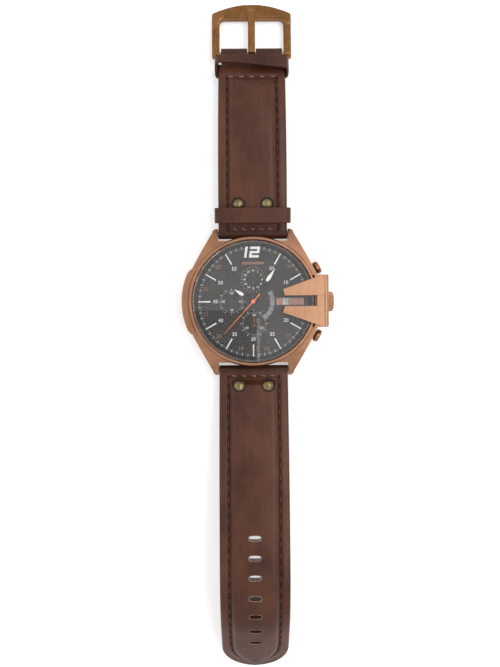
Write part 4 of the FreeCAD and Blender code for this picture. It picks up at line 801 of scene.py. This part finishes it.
@dataclass
class LeatherHalf:
    """One half of the strap: lining and cover, padding, stitched grooves and edge paint."""

    name: str
    body: str
    line: StrapLine
    pad_start: float
    pad_end: float
    half_t: float = 1.2
    pad_rise: float = 1.4
    pad_half: float = 9.0
    groove_x: float = 9.55
    roll_in: float = 1.8
    roll_out: float = 0.0
    columns: tuple[float, ...] = (
        0.0, 1.1, 2.2, 3.3, 4.4, 5.4, 6.3, 7.0, 7.5, 7.9, 8.25, 8.55, 8.8, 9.0, 9.2, 9.38, 9.55, 9.72, 9.9,
        10.15, 10.5, 11.0, 11.5, 11.9, 12.2, 12.45, 12.65, 12.8, 12.9, STRAP_HALF)

    def half_width(self, s: float) -> float:
        """Half the strap's width at a length along it."""
        return STRAP_HALF

    def stations(self) -> list[float]:
        """Lengths at which the strap is sectioned."""
        return [k * 1.0 for k in range(int(self.line.length) + 1)]

    def cover(self, x: float, s: float) -> tuple[float, float]:
        """Height of the cover above the middle line, and how dark it is drawn: edge dye, and painted shade in
        its groove.

        Args:
            x: place across the strap.
            s: place along it.

        Returns:
            The lift in millimetres, and how dark it is drawn from 0 to 1: edge dye and painted shade.
        """
        half = self.half_width(s)
        edge = max(0.0, half - abs(x))
        seam = self.groove_distance(x, s)
        lift = self.half_t
        if edge < 0.8:
            lift -= 0.8 - math.sqrt(max(0.0, 0.64 - (0.8 - edge) ** 2))
        lift += 0.22 * ease(edge, 0.0, 0.9) * ease(-seam, -3.4, -0.6)
        inside = -seam - 0.45
        rise = self.pad_rise * ease(s, self.pad_start, self.pad_start + 3.0)
        rise *= 1 - ease(s, self.pad_end - 3.0, self.pad_end)
        if inside > 0:
            shoulder = 1 - (1 - min(1.0, inside / 2.4)) ** 2.6
            lift += rise * shoulder * (0.9 + 0.1 * (1 - (x / self.pad_half) ** 2))
        lift -= 0.5 * math.exp(-(seam / 0.42) ** 2) * self.seam_strength(s)
        # the groove term is painted shade in the stitched recess; the edge term is the leather's real edge dye
        dark = 0.75 * math.exp(-(seam / 0.5) ** 2) * self.seam_strength(s) + 0.9 * (1 - ease(edge, 0.0, 0.35))
        return lift, min(1.0, dark)

    def groove_distance(self, x: float, s: float) -> float:
        """Signed distance outwards from the stitched groove."""
        return abs(x) - (self.half_width(s) - (STRAP_HALF - self.groove_x))

    def seam_strength(self, s: float) -> float:
        """How deep the groove is at a length."""
        return 1.0

    def floor(self, x: float, s: float) -> float:
        """Height of the lining below the middle line, with its rolls."""
        edge = max(0.0, self.half_width(s) - abs(x))
        return self.rolled(-self.half_t + (0.35 * (1 - ease(edge, 0.0, 0.5))), s, -1)

    def rolled(self, lift: float, s: float, side: int) -> float:
        """Swells the section into a roll near each bar."""
        rolls = [(0.0, self.roll_in, 1)] + ([(self.line.length, self.roll_out, -1)] if self.roll_out else [])
        for centre, radius, way in rolls:
            d = (s - centre) * way
            if d < 3.2:
                circle = math.sqrt(max(0.0, radius ** 2 - d ** 2)) if abs(d) < radius else 0.0
                lift = side * circle if d < 0 else side * max(circle, abs(lift))
        return lift

    def seamed(self, lift: float, dark: float, x: float, s: float, seam: float,
               depth: float) -> tuple[float, float]:
        """Presses a cross seam into the cover and darkens it with painted shade."""
        if abs(x) < 9.6:
            lift -= depth * math.exp(-((s - seam) / 0.6) ** 2)
            # painted shade in the pressed cross seam
            dark = max(dark, 0.5 * math.exp(-((s - seam) / 0.5) ** 2))
        return lift, dark

    def sheet(self) -> Thing:
        """Drapes a grid over the section at each station."""
        across = sorted({-c for c in self.columns} | set(self.columns))
        along = self.stations()
        obj = made(self.name, bpy.ops.mesh.primitive_grid_add, x_subdivisions=len(across) - 1,
                   y_subdivisions=len(along) - 1, size=2)
        open_edit(obj)
        bpy.ops.mesh.extrude_region_move(TRANSFORM_OT_translate={"value": (0, 0, 1)})
        close_edit()
        darkness = []
        widest = across[-1]

        def drape(v: Vector) -> Vector:
            """Puts one grid point on the strap."""
            i = round((v.x + 1) / 2 * (len(across) - 1))
            j = round((v.y + 1) / 2 * (len(along) - 1))
            s = along[j]
            half = self.half_width(s)
            x = across[i]
            if half < widest:
                x *= half / widest
            lift, dark = self.cover(x, s)
            if v.z > 0.5:
                darkness.append(dark)
                return self.line.point(x, s, lift)
            darkness.append(0.9 * (1 - ease(half - abs(x), 0.0, 0.3)))
            return self.line.point(x, s, self.floor(x, s))

        move_points(obj, drape)
        # the seam value holds the edge dye and the painted shade of the grooves, cross seams and strap ends
        seam = obj.data.attributes.new("seam", "FLOAT", "POINT")
        seam.data.foreach_set("value", darkness)
        tidy(obj, 2e-6)
        return obj

    def line_faces(self, obj: Thing) -> None:
        """Gives the faces on the underside the lining's slot."""
        for face in obj.data.polygons:
            u, z, a = self.near(face.center)
            below = (face.center.z / MM - z) * math.cos(a) < -0.55
            face.material_index = 1 if below and face.normal.z < -0.5 else 0

    def near(self, place: Vector) -> tuple[float, float, float]:
        """The middle line's own place beside a point."""
        target = self.line.sign * place.y / MM
        low, high = 0.0, self.line.length
        for _ in range(24):
            mid = (low + high) / 2
            if self.line.at(mid)[0] < target:
                low = mid
            else:
                high = mid
        return self.line.at((low + high) / 2)

    def bore(self, obj: Thing, s: float, radius: float) -> None:
        """Bores the passage for a bar across the strap."""
        cutter = settle(made("bar_cutter", bpy.ops.mesh.primitive_cylinder_add, vertices=32, radius=radius * MM,
                             depth=0.034, location=self.line.point(0, s, 0), rotation=(0, math.pi / 2, 0)))
        subtract(obj, cutter)


@dataclass
class BuckleHalf(LeatherHalf):
    """The half that carries the buckle, folded narrow round the buckle's bar."""

    fold_half: float = 11.5
    fold_from: float = 63.2
    roll_out: float = 2.0

    def half_width(self, s: float) -> float:
        """Narrows evenly, then steps in at the fold."""
        wide = STRAP_HALF - TAPER * max(0.0, s) / 69.0
        return wide + (self.fold_half - wide) * ease(s, self.fold_from - 0.5, self.fold_from + 0.5)

    def stations(self) -> list[float]:
        """Sections closer at the rolled ends and the cross seams."""
        L = self.line.length
        rolled = [-self.roll_in * math.cos(math.radians(a)) for a in (0, 15, 30, 45, 60, 75)]
        ends = [L + self.roll_out * math.sin(math.radians(a)) for a in (15, 30, 45, 60, 75, 90)]
        fine = [k * 0.4 for k in range(0, 20)]
        middle = [8.0 + k for k in range(0, 48)]
        close = [56.0 + k * 0.4 for k in range(0, 33)]
        return rolled + fine + middle + close + ends

    def cover(self, x: float, s: float) -> tuple[float, float]:
        """The cover with the two cross seams, the rolls over the bars, and painted shade at both ends."""
        lift, dark = super().cover(x, s)
        for seam, depth in ((2.0, 0.25), (58.7, 0.35)):
            lift, dark = self.seamed(lift, dark, x, s, seam, depth)
        # painted shade where the strap runs into the case's shadow, and where it meets the buckle's bar
        dark = max(dark, 0.6 * (1 - ease(s, 0.5, 4.5)), 0.45 * ease(s, 66.8, 68.5))
        return self.rolled(lift, s, 1), dark

    def seam_strength(self, s: float) -> float:
        """The side grooves run between the cross seams."""
        return ease(s, 1.2, 2.4) * (1 - ease(s, 58.6, 59.4))


@dataclass
class TailHalf(LeatherHalf):
    """The half with the adjustment holes and the arched tip."""

    tip_run: float = 12.0
    holes: int = 7
    pitch: float = 6.75
    last_hole: float = 18.0
    hole_length: float = 4.6
    hole_width: float = 2.0

    def half_width(self, s: float) -> float:
        """Narrows evenly, then rounds in to a pointed arch at the tip."""
        L = self.line.length
        wide = STRAP_HALF - TAPER * min(1.0, max(0.0, s) / 107.0)
        left = L - s
        if left >= self.tip_run:
            return wide
        t = 1 - max(0.0, left) / self.tip_run
        return 12.5 * math.sqrt(max(0.0, 1 - t ** 2.2))

    def stations(self) -> list[float]:
        """Sections closer at the bar and towards the tip."""
        L = self.line.length
        rolled = [-self.roll_in * math.cos(math.radians(a)) for a in (0, 15, 30, 45, 60, 75)]
        fine = [k * 0.4 for k in range(0, 20)]
        middle = [8.0 + k * 1.0 for k in range(0, int(L - self.tip_run - 8.0) + 1)]
        tip = [L - self.tip_run * (1 - k / 40) ** 1.7 for k in range(0, 41)]
        return rolled + fine + [m for m in middle if m < tip[0] - 0.2] + tip

    def groove_distance(self, x: float, s: float) -> float:
        """The groove turns in before the tip and meets in a point."""
        ahead = self.half_width(min(self.line.length, s + 2.9))
        return abs(x) - max(-3.0, ahead - 3.4 * min(1.0, ahead / 8.0) - (0.0 if ahead > 0.01 else 3.0))

    def cover(self, x: float, s: float) -> tuple[float, float]:
        """The cover with its cross seam, the roll over the spring bar, and painted shade by the case."""
        lift, dark = self.seamed(*super().cover(x, s), x, s, 2.6, 0.25)
        # painted shade where the strap meets the case
        return self.rolled(lift, s, 1), max(dark, 0.6 * (1 - ease(s, 0.2, 2.2)))

    def seam_strength(self, s: float) -> float:
        """The side grooves start at the cross seam."""
        return ease(s, 1.8, 3.0)

    def punch_holes(self, obj: Thing, palette: Palette) -> Thing:
        """Punches the oval holes and gives each a paler raw rim.

        Args:
            obj: the strap to punch.
            palette: the finishes.

        Returns:
            The rims as one piece.
        """
        rims, cutters = [], []
        for k in range(self.holes):
            s = self.line.length - self.last_hole - self.pitch * k
            cutter = made("hole_cutter", bpy.ops.mesh.primitive_cylinder_add, vertices=32, radius=1.0,
                          depth=1.0)
            reach = (self.hole_length - self.hole_width) / 2
            r = self.hole_width / 2
            move_points(cutter, lambda v: mm(
                v.x * r + math.copysign(reach, v.x) if abs(v.x) > 1e-4 else 0.0, v.y * r, v.z * 12))
            cutter.matrix_world = self.line.frame_at(0, s, 0)
            cutters.append(cutter)
            lift, _ = self.cover(0, s)
            rim = made("hole_rim", bpy.ops.mesh.primitive_torus_add, major_segments=40, minor_segments=8,
                       major_radius=1.0, minor_radius=0.13)
            move_points(rim, lambda v: mm(v.x * (r + 0.02) + reach * max(-1.0, min(1.0, v.x * 1.6)),
                                          v.y * (r + 0.02), v.z * 1.3))
            rim.matrix_world = self.line.frame_at(0, s, lift - 0.07)
            rims.append(rim)
        subtract(obj, joined("hole_cutters", cutters))
        piece = joined("hole_rims", rims)
        smooth(piece, 60)
        return dress(piece, palette["raw_edge"])


class Stitcher:
    """Makes one stitch and one dark mark of painted shade for a needle hole, and lays copies of them along
    seams.
    """

    def __init__(self, palette: Palette) -> None:
        """Models the two masters."""
        self.palette = palette
        self.thread = self.master("stitch_master", 2.3, 0.62, 0.3)
        # the needle-hole mark is a raised dark bump of painted shade, not a real hole
        self.hole = self.master("needle_master", 1.5, 0.95, 0.16)

    @staticmethod
    def master(name: str, length: float, width: float, height: float) -> Thing:
        """A rounded, slightly sagging stitch, from a cylinder bevelled at its ends."""
        obj = settle(made(name, bpy.ops.mesh.primitive_cylinder_add, vertices=10, radius=1.0, depth=2.0,
                          rotation=(math.pi / 2, 0, 0)))
        open_edit(obj)
        bpy.ops.mesh.select_all(action="DESELECT")
        bpy.ops.object.mode_set(mode="OBJECT")
        for face in obj.data.polygons:
            face.select = abs(face.normal.y) > 0.9
        bpy.ops.object.mode_set(mode="EDIT")
        bpy.ops.mesh.inset(thickness=0.55, depth=0.0)
        close_edit()
        for vertex in obj.data.vertices:
            radius = math.hypot(vertex.co.x, vertex.co.z)
            vertex.co.y *= 1.0 if radius < 0.8 else 0.72
        move_points(obj, lambda v: mm(v.x * width / 2, v.y * length / 2,
                                      v.z * height + (0.12 * height * (1 - v.y ** 2))))
        smooth(obj, 70)
        obj.hide_render = True
        return obj

    def lay(self, name: str, master: Thing, places: Sequence[Matrix], finish: str,
            body: str) -> Thing:
        """Lays copies of a master and joins them into one piece."""
        copies = [copied(master, place) for place in places]
        for twin in copies:
            twin.hide_render = False
        piece = joined(name, copies)
        dress(piece, self.palette[finish])
        return add_piece(piece, body, "strap_leather")

    def finish(self) -> None:
        """Removes the masters."""
        discard(self.thread)
        discard(self.hole)


@dataclass
class Keeper:
    """A leather loop round the strap."""

    name: str
    node: str
    body: str
    centre: float
    width: float
    low: float
    high: float
    half: float
    thickness: float = 1.0
    corner: float = 1.5
    wave: float = 0.0

    def build(self, line: StrapLine, palette: Palette) -> Thing:
        """Wraps a grid round the strap and thickens it.

        Args:
            line: the strap's middle line.
            palette: the finishes.

        Returns:
            The keeper.
        """
        loop = self.loop(18)
        rows = 9
        obj = made(self.name, bpy.ops.mesh.primitive_grid_add, x_subdivisions=len(loop),
                   y_subdivisions=rows - 1, size=2)

        def wrap(v: Vector) -> Vector:
            """Puts one grid point on the loop."""
            i = round((v.x + 1) / 2 * len(loop)) % len(loop)
            j = (v.y + 1) / 2
            x, z = loop[i]
            top = ease(z, self.low + 0.5, self.high)
            start, end = -self.width / 2, self.width / 2
            start += top * self.wave * (0.62 - 0.38 * math.sin(x / self.half * 1.45)) if self.wave else 0.0
            t = start + (end - start) * j
            crown = 0.25 * top * (1 - (x / self.half) ** 2)
            return line.point(x, self.centre + t, z + crown)

        move_points(obj, wrap)
        tidy(obj, 1e-6)
        modifier(obj, "SOLIDIFY", thickness=self.thickness * MM, offset=1.0, use_even_offset=True)
        bevel(obj, 0.22, 50)
        smooth(obj, 50)
        dress(obj, palette["keeper_leather"])
        return add_piece(obj, self.body, "keeper_leather", self.node)

    def loop(self, per_side: int) -> list[tuple[float, float]]:
        """Points round a rounded oblong, without the closing one."""
        points: list[tuple[float, float]] = []
        r = self.corner
        corners = ((self.half - r, self.high - r, 0), (-(self.half - r), self.high - r, 90),
                   (-(self.half - r), self.low + r, 180), (self.half - r, self.low + r, 270))
        for k, (cx, cz, start) in enumerate(corners):
            for step in range(7):
                a = math.radians(start + 90 * step / 6)
                points.append((cx + r * math.cos(a), cz + r * math.sin(a)))
            nx, nz, begin = corners[(k + 1) % 4]
            a = math.radians(begin)
            target = (nx + r * math.cos(a), nz + r * math.sin(a))
            count = per_side if k in (0, 2) else 3
            last = points[-1]
            for step in range(1, count):
                f = step / count
                points.append((last[0] + (target[0] - last[0]) * f, last[1] + (target[1] - last[1]) * f))
        return points


@dataclass
class Strap:
    """Both leather halves, their stitching and the keepers."""

    upper: BuckleHalf = field(default_factory=lambda: BuckleHalf(
        "strap_cover_upper", "strap_upper", StrapLine(1, math.radians(11.9995), ((69.0, 152.0),)), 3.4, 57.6))
    tail: TailHalf = field(default_factory=lambda: TailHalf(
        "strap_cover_tail", "strap_lower", StrapLine(-1, 0.0, (
            (74.1, 400.0), (22.0, 34.0), (23.0, 0.0))), 3.8, 117.5))
    stitch_pitch: float = 3.9

    def __post_init__(self) -> None:
        """Slopes the tail so that its tip meets the table."""
        low, high = 0.0, math.radians(60)
        for _ in range(60):
            self.tail.line.slope = (low + high) / 2
            _, z, a = self.tail.line.at(self.tail.line.length)
            if z - self.tail.half_t / math.cos(a) > 0:
                high = self.tail.line.slope
            else:
                low = self.tail.line.slope

    def build(self, palette: Palette) -> None:
        """Makes the leather, the holes, the stitches and the keepers."""
        upper = self.upper.sheet()
        self.upper.bore(upper, 0.0, 0.98)
        self.upper.bore(upper, self.upper.line.length, 0.88)
        slot = made("slot_cutter", bpy.ops.mesh.primitive_cube_add, size=2)
        end = self.upper.line.length
        move_points(slot, lambda v: self.upper.line.point(v.x * 1.6, end + (-4.0 if v.y < 0 else 5.0), v.z * 6))
        subtract(upper, slot)
        self.finish_half(self.upper, upper, palette, "strap_upper")
        tail = self.tail.sheet()
        self.tail.bore(tail, 0.0, 0.98)
        rims = self.tail.punch_holes(tail, palette)
        self.finish_half(self.tail, tail, palette, "strap_lower")
        add_piece(rims, "strap_lower", "strap_leather")
        self.sew(palette)
        self.rivet_seats(palette)
        Keeper("keeper_loop_free", "keeper_free", "keeper_free", 6.9, 5.5, -1.55, 3.9, 13.2).build(
            self.upper.line, palette)
        Keeper("keeper_loop_fixed", "keeper_fixed", "strap_upper", 62.6, 5.8, -1.3, 3.6, 12.85,
               wave=3.0).build(self.upper.line, palette)

    @staticmethod
    def finish_half(half: LeatherHalf, obj: Thing, palette: Palette, node: str) -> None:
        """Shades, dresses and registers one half."""
        tidy(obj, 1e-6)
        half.line_faces(obj)
        smooth(obj, 55)
        dress(obj, palette["strap_leather"], palette["lining"])
        half.line_faces(obj)
        add_piece(obj, half.body, "strap_leather", node)

    def rivet_seats(self, palette: Palette) -> None:
        """Dark rings of painted shadow round the rivets, where they sink into the leather."""
        for half, s in ((self.upper, 10.9), (self.tail, 6.4)):
            rings = []
            for x in (-5.35, 5.35):
                # each ring is a near-black torus of painted shadow round a rivet's head
                shadow_ring = made("rivet_seat", bpy.ops.mesh.primitive_torus_add, major_segments=40,
                            minor_segments=10, major_radius=2.3 * MM, minor_radius=0.3 * MM)
                move_points(shadow_ring, lambda v: Vector((v.x, v.y, v.z * 0.7)))
                shadow_ring.matrix_world = half.line.frame_at(x, s, half.cover(x, s)[0] + 0.02)
                rings.append(shadow_ring)
            piece = joined("rivet_seats_" + half.body, rings)
            smooth(piece, 60)
            dress(piece, palette["needle_hole_shade"])
            add_piece(piece, half.body, "strap_leather")

    def sew(self, palette: Palette) -> None:
        """Sews the side seams, the cross seams and the arch at the tip."""
        stitcher = Stitcher(palette)
        half, line = self.upper, self.upper.line
        threads, holes = [], []
        s = 4.4
        while s < 57.4:
            for side in (-1, 1):
                x = side * (half.half_width(s) - (STRAP_HALF - half.groove_x))
                threads.append(line.frame_at(x, s, half.cover(x, s)[0] + 0.12))
                holes.append(line.frame_at(x, s + self.stitch_pitch / 2, half.cover(x, s)[0] + 0.02))
            s += self.stitch_pitch
        stitcher.lay("side_stitches_upper", stitcher.thread, threads, "thread_rust", "strap_upper")
        stitcher.lay("needle_holes_upper", stitcher.hole, holes, "needle_hole_shade", "strap_upper")
        cross = self.cross_seam(half, 2.0, 3.3, 0.15, 62) + self.cross_seam(half, 58.7, 3.9, 0.12, 88)
        stitcher.lay("cross_stitches_upper", stitcher.thread, cross, "thread_tan", "strap_upper")
        half, line = self.tail, self.tail.line
        threads, holes = [], []
        run = self.seam_run()
        travelled, step_at, k = 0.0, 0.0, 0
        for (x0, s0), (x1, s1) in zip(run, run[1:]):
            travelled += math.hypot(x1 - x0, s1 - s0)
            if travelled >= step_at:
                turn = math.atan2(x1 - x0, s1 - s0)
                for side in (-1, 1):
                    lift = half.cover(side * x1, s1)[0]
                    place = line.frame_at(side * x1, s1, lift + (0.12 if k % 2 == 0 else 0.02), side * turn)
                    (threads if k % 2 == 0 else holes).append(place)
                k += 1
                step_at += self.stitch_pitch / 2
        stitcher.lay("side_stitches_tail", stitcher.thread, threads, "thread_rust", "strap_lower")
        stitcher.lay("needle_holes_tail", stitcher.hole, holes, "needle_hole_shade", "strap_lower")
        cross = self.cross_seam(half, 2.6, 3.6, 0.15, 80)
        stitcher.lay("cross_stitches_tail", stitcher.thread, cross, "thread_tan", "strap_lower")
        stitcher.finish()

    @staticmethod
    def cross_seam(half: LeatherHalf, s: float, pitch: float, lift: float, turn: float) -> list[Matrix]:
        """Places for the five stitches of a seam across a half."""
        return [half.line.frame_at(pitch * k, s, half.cover(pitch * k, s)[0] + lift, math.radians(turn))
                for k in (-2, -1, 0, 1, 2)]

    def seam_run(self) -> list[tuple[float, float]]:
        """The groove's own line on the tail, finely stepped, from the bar to the tip."""
        half = self.tail
        run, s = [], 4.4
        end = half.line.length - 3.2
        while s < end:
            x = -half.groove_distance(0.0, s)
            if x > 0.2:
                run.append((x, s))
            s += 0.25 if end - s > 4 else 0.06
        return run


# ------------------------------------------------------------------ dial
@dataclass
class Dial:
    """Everything printed or laid on the dial."""

    face: float = 8.4
    ink: float = 0.03

    def build(self, palette: Palette) -> None:
        """Makes the prints of the dial, its registers and the date ring."""
        self.track(palette)
        self.hour_figures(palette)
        self.registers(palette)
        self.trim(palette)
        self.dates(palette)

    def print_on(self, obj: Thing, palette: Palette, ink: str, slot: str = "marker_white",
                 body: str = "case") -> None:
        """Inks a print and registers it."""
        dress(obj, palette[ink])
        add_piece(obj, body, slot)

    def track(self, palette: Palette) -> None:
        """Minute track at the rim."""
        z0, z1 = self.face, self.face + self.ink
        master = block("tick_master", -0.09, 0.09, 19.5, 20.9, z0, z1)
        marks = []
        for minute in range(60):
            if minute % 5 and abs(minute - 15) > 2:
                marks.append(copied(master, Matrix.Rotation(-math.radians(6 * minute), 4, "Z")))
        discard(master)
        self.print_on(joined("minute_track", marks), palette, "ink_white")
        rings = [turned_band("track_ring", inner, outer, z0, z1 + 0.005)
                 for inner, outer in ((20.95, 21.07), (19.92, 20.0))]
        self.print_on(joined("track_rings", rings), palette, "ink_grey")

    def hour_figures(self, palette: Palette) -> None:
        """Minute figures inside the hour markers and the second circle of hours."""
        z0, z1 = self.face, self.face + self.ink
        minutes = [(f"{5 * k:02d}", *polar(14.0, 30 * k), 1.35, 0.0) for k in range(1, 12) if k != 3]
        self.print_on(figures("minute_figures", minutes, z0, z1, 0.02), palette, "ink_white")
        hours = [(str(13 + k), *polar(18.2, 15 + 30 * k), 1.5, 0.0) for k in range(1, 11) if k not in (2, 3)]
        self.print_on(figures("second_hours", hours, z0, z1, 0.02), palette, "ink_copper", "copper_trim")

    def registers(self, palette: Palette) -> None:
        """Rings, ticks and figures of the three registers."""
        z0, z1 = self.face - 0.15, self.face - 0.12
        marks, small = [], []
        for x, y, ring, outer in ((-8.0, 0.0, 4.1, 4.9), (0.3, -8.2, 4.2, 5.2)):
            small.append(turned_band("register_ring", ring - 0.06, ring + 0.06, z0, z1, x=x, y=y, steps=64))
            for k in range(12):
                tick = block("register_tick", -0.08, 0.08, ring + 0.25, outer, z0, z1)
                turn = Matrix.Rotation(math.radians(30 * k), 4, "Z")
                tick.matrix_world = Matrix.Translation(mm(x, y, 0)) @ turn
                marks.append(tick)
        for k in range(24):
            x, y = polar(4.55, 15 * k)
            clear_bench()
            bpy.ops.mesh.primitive_circle_add(vertices=10, radius=0.13 * MM, fill_type="NGON",
                                              location=mm(x, 8.2 + y, z1))
            marks.append(bpy.context.object)
        self.print_on(joined("register_ticks", marks), palette, "ink_white")
        self.print_on(joined("register_rings", small), palette, "ink_grey")
        entries = []
        for cx, cy, radius, height, labels in (
                (0.0, 8.2, 3.35, 0.8, [(str(2 * k or 24), 30 * k) for k in range(12)]),
                (-8.0, 0.0, 3.15, 0.95, (("60", 0), ("15", 90), ("30", 180), ("45", 270))),
                (0.3, -8.2, 3.2, 0.95, (("60", 0), ("20", 120), ("40", 240)))):
            for text, clock in labels:
                x, y = polar(radius, clock)
                entries.append((text, cx + x, cy + y, height, 0.0))
        self.print_on(figures("register_figures", entries, z0, z1, 0.015), palette, "ink_white")

    def trim(self, palette: Palette) -> None:
        """Satin arc beside the centre, the plain copper bar and the date frame."""
        z0, z1 = self.face, self.face + self.ink
        arcs = [turned_band("arc", 6.3, 8.0, z0, z1 + 0.01, start, 13.6, 8)
                for start in (-45, -30, -15, 1, 16, 31)]
        self.print_on(joined("satin_arc", arcs), palette, "satin_arc", "dial_grey")
        bar = plate("copper_bar", ((-4.1, 13.75), (4.1, 13.75), (3.95, 14.75), (-3.95, 14.75)), z0, z1 + 0.01)
        self.print_on(bar, palette, "ink_copper", "copper_trim")
        edges = [block("frame_edge", *place, z0 + 0.1, z1 + 0.12) for place in (
            (10.9, 13.5, 1.02, 1.22), (10.9, 13.5, -1.22, -1.02), (10.95, 11.18, -1.22, 1.22))]
        self.print_on(joined("date_frame", edges), palette, "ink_white", "date_white")

    def dates(self, palette: Palette) -> None:
        """Days of the month round the date ring, upright as they pass the window."""
        entries = []
        for day in range(31):
            turn = 360.0 / 31 * day
            a = math.radians(turn)
            entries.append((str(day + 1), 12.2 * math.cos(a), 12.2 * math.sin(a), 1.3, turn))
        self.print_on(figures("date_figures", entries, 7.6, 7.63, 0.02), palette, "ink_black",
                      "date_white", "date_ring")


# ------------------------------------------------------------------ hands
@dataclass
class Hands:
    """Luminous leaves on the main hands, and the colours of the small ones."""

    hour_clock: float = 302.8
    minute_clock: float = 34.0

    def build(self, palette: Palette) -> None:
        """Makes the luminous leaves, repaints the register hands and caps their hubs."""
        self.leaf("hour_leaf", "hour_hand", self.hour_clock, 4.4, 8.2, 1.35, 9.15, palette)
        self.leaf("minute_leaf", "minute_hand", self.minute_clock, 9.0, 14.5, 1.5, 9.55, palette)
        for node, finish in (("register_hand_twelve", "register_brown"),
                             ("register_hand_nine", "hand_copper"),
                             ("register_hand_six", "register_red")):
            dress(frame["nodes"][node], palette[finish])
        for body, x, y in (("day_hand", 0.0, 8.2), ("counter_nine", -8.0, 0.0), ("counter_six", 0.3, -8.2)):
            cap = turned_band("hub_cap_" + body, 0.02, 0.6, 8.44, 8.56, x=x, y=y, steps=28)
            bevel(cap, 0.05, 60)
            smooth(cap, 50)
            dress(cap, palette["ink_black"])
            add_piece(cap, body, "hand_copper")

    @staticmethod
    def leaf(name: str, body: str, clock: float, start: float, end: float, width: float, z: float,
             palette: Palette) -> None:
        """One white leaf, drawn to a point from a grid."""
        obj = made(name, bpy.ops.mesh.primitive_grid_add, x_subdivisions=2, y_subdivisions=16, size=2)

        def shape(v: Vector) -> Vector:
            """Draws the grid to a leaf."""
            t = (v.y + 1) / 2
            half = width / 2 * min(0.55 + 1.5 * t, 1.0, 0.06 + 1.25 * (1 - t))
            return mm(v.x * half, start + (end - start) * t, z + 0.02)

        move_points(obj, shape)
        thicken(obj, 0.04)
        obj.matrix_world = Matrix.Rotation(-math.radians(clock), 4, "Z")
        settle(obj)
        dress(obj, palette["lume"])
        add_piece(obj, body, "hand_white")


# ------------------------------------------------------------------ studio
@dataclass
class Studio:
    """Pale floor, soft lamps, the cards that the crystal mirrors, and the camera."""

    lens: float = 31.39
    eye: tuple[float, float, float] = (-1.27, -9.4, 225.0)
    pitch: float = -0.65
    roll: float = -0.38
    sky_fill: float = 0.62
    table_glow: float = 0.42

    def build(self) -> None:
        """Sets up everything round the watch."""
        self.floor()
        self.sky()
        self.lamp("lamp_upper_right", (240, 215, 600), (360, 160), 0.75)
        self.lamp("lamp_lower_right", (250, -85, 600), (360, 120), 0.65)
        self.lamp("lamp_left", (-420, 120, 460), (260, 420), 0.3)
        self.card("mirror_dark", (-90, 8), (-55, 13), 0.02)
        self.card("mirror_streak", (8, 12.5), (-60, 3), 2.6)
        self.camera()

    def floor(self) -> None:
        """The pale table, white to the lens but still shaded by the watch."""
        table = made("table", bpy.ops.mesh.primitive_plane_add, size=6, location=(0, 0, -0.0002))
        material = bpy.data.materials.new("table_white")
        material.use_nodes = True
        graph = Graph(material.node_tree)
        shader = material.node_tree.nodes["Principled BSDF"]
        shader.inputs["Base Color"].default_value = (0.93, 0.93, 0.93, 1)
        shader.inputs["Roughness"].default_value = 0.9
        seen = graph.seen()
        glow = graph.add("ShaderNodeEmission")
        glow.inputs["Color"].default_value = (1, 1, 1, 1)
        graph.wire(graph.math("MULTIPLY", seen, self.table_glow), glow.inputs["Strength"])
        total = graph.add("ShaderNodeAddShader")
        graph.wire(shader.outputs[0], total.inputs[0])
        graph.wire(glow.outputs[0], total.inputs[1])
        graph.wire(total.outputs[0], material.node_tree.nodes["Material Output"].inputs["Surface"])
        dress(table, material)

    def sky(self) -> None:
        """An even pale surround, white where the lens sees it."""
        world = bpy.data.worlds.new("surround")
        bpy.context.scene.world = world
        world.use_nodes = True
        graph = Graph(world.node_tree)
        back = world.node_tree.nodes["Background"]
        back.inputs["Color"].default_value = (1, 1, 1, 1)
        seen = graph.seen()
        graph.wire(graph.span(seen, 0, 1, self.sky_fill, 1.0), back.inputs["Strength"])

    @staticmethod
    def lamp(name: str, place: tuple[float, float, float], size: tuple[float, float], watts: float) -> None:
        """A soft rectangular lamp that faces the watch."""
        data = bpy.data.lights.new(name, "AREA")
        data.shape = "RECTANGLE"
        data.size, data.size_y = size[0] * MM, size[1] * MM
        data.energy = watts
        obj = bpy.data.objects.new(name, data)
        bpy.context.scene.collection.objects.link(obj)
        obj.location = mm(*place)
        obj.rotation_euler = (-obj.location).to_track_quat("-Z", "Y").to_euler()

    @staticmethod
    def card(name: str, across: tuple[float, float], up: tuple[float, float], strength: float) -> None:
        """A card overhead that only mirrors show."""
        obj = made(name, bpy.ops.mesh.primitive_plane_add, size=2)
        x0, x1, y0, y1 = *across, *up
        move_points(obj, lambda v: mm((x0 + x1) / 2 + v.x * (x1 - x0) / 2,
                                      (y0 + y1) / 2 + v.y * (y1 - y0) / 2, 600))
        material = bpy.data.materials.new(name)
        material.use_nodes = True
        tree = material.node_tree
        tree.nodes.remove(tree.nodes["Principled BSDF"])
        glow = tree.nodes.new("ShaderNodeEmission")
        glow.inputs["Strength"].default_value = strength
        tree.links.new(glow.outputs[0], tree.nodes["Material Output"].inputs["Surface"])
        dress(obj, material)
        obj.visible_camera = False
        obj.visible_diffuse = False
        obj.visible_shadow = False
        obj.visible_transmission = False

    def camera(self) -> None:
        """A camera straight above the watch."""
        data = bpy.data.cameras.new("camera")
        data.lens = self.lens
        data.clip_start = 0.01
        obj = bpy.data.objects.new("camera", data)
        bpy.context.scene.collection.objects.link(obj)
        obj.location = mm(*self.eye)
        obj.rotation_euler = (math.radians(self.pitch), 0, math.radians(self.roll))
        bpy.context.scene.camera = obj


def main() -> None:
    """Builds the watch and its studio in order."""
    logging.basicConfig(level=logging.INFO, format="%(name)s: %(message)s")
    palette = Palette()
    palette.dress_frame()
    SoftenedMetal().build(palette)
    Strap().build(palette)
    Dial().build(palette)
    Hands().build(palette)
    Studio().build()
    bpy.context.scene.view_settings.view_transform = "Standard"
    bpy.context.view_layer.update()


if __name__ == "__main__":
    main()
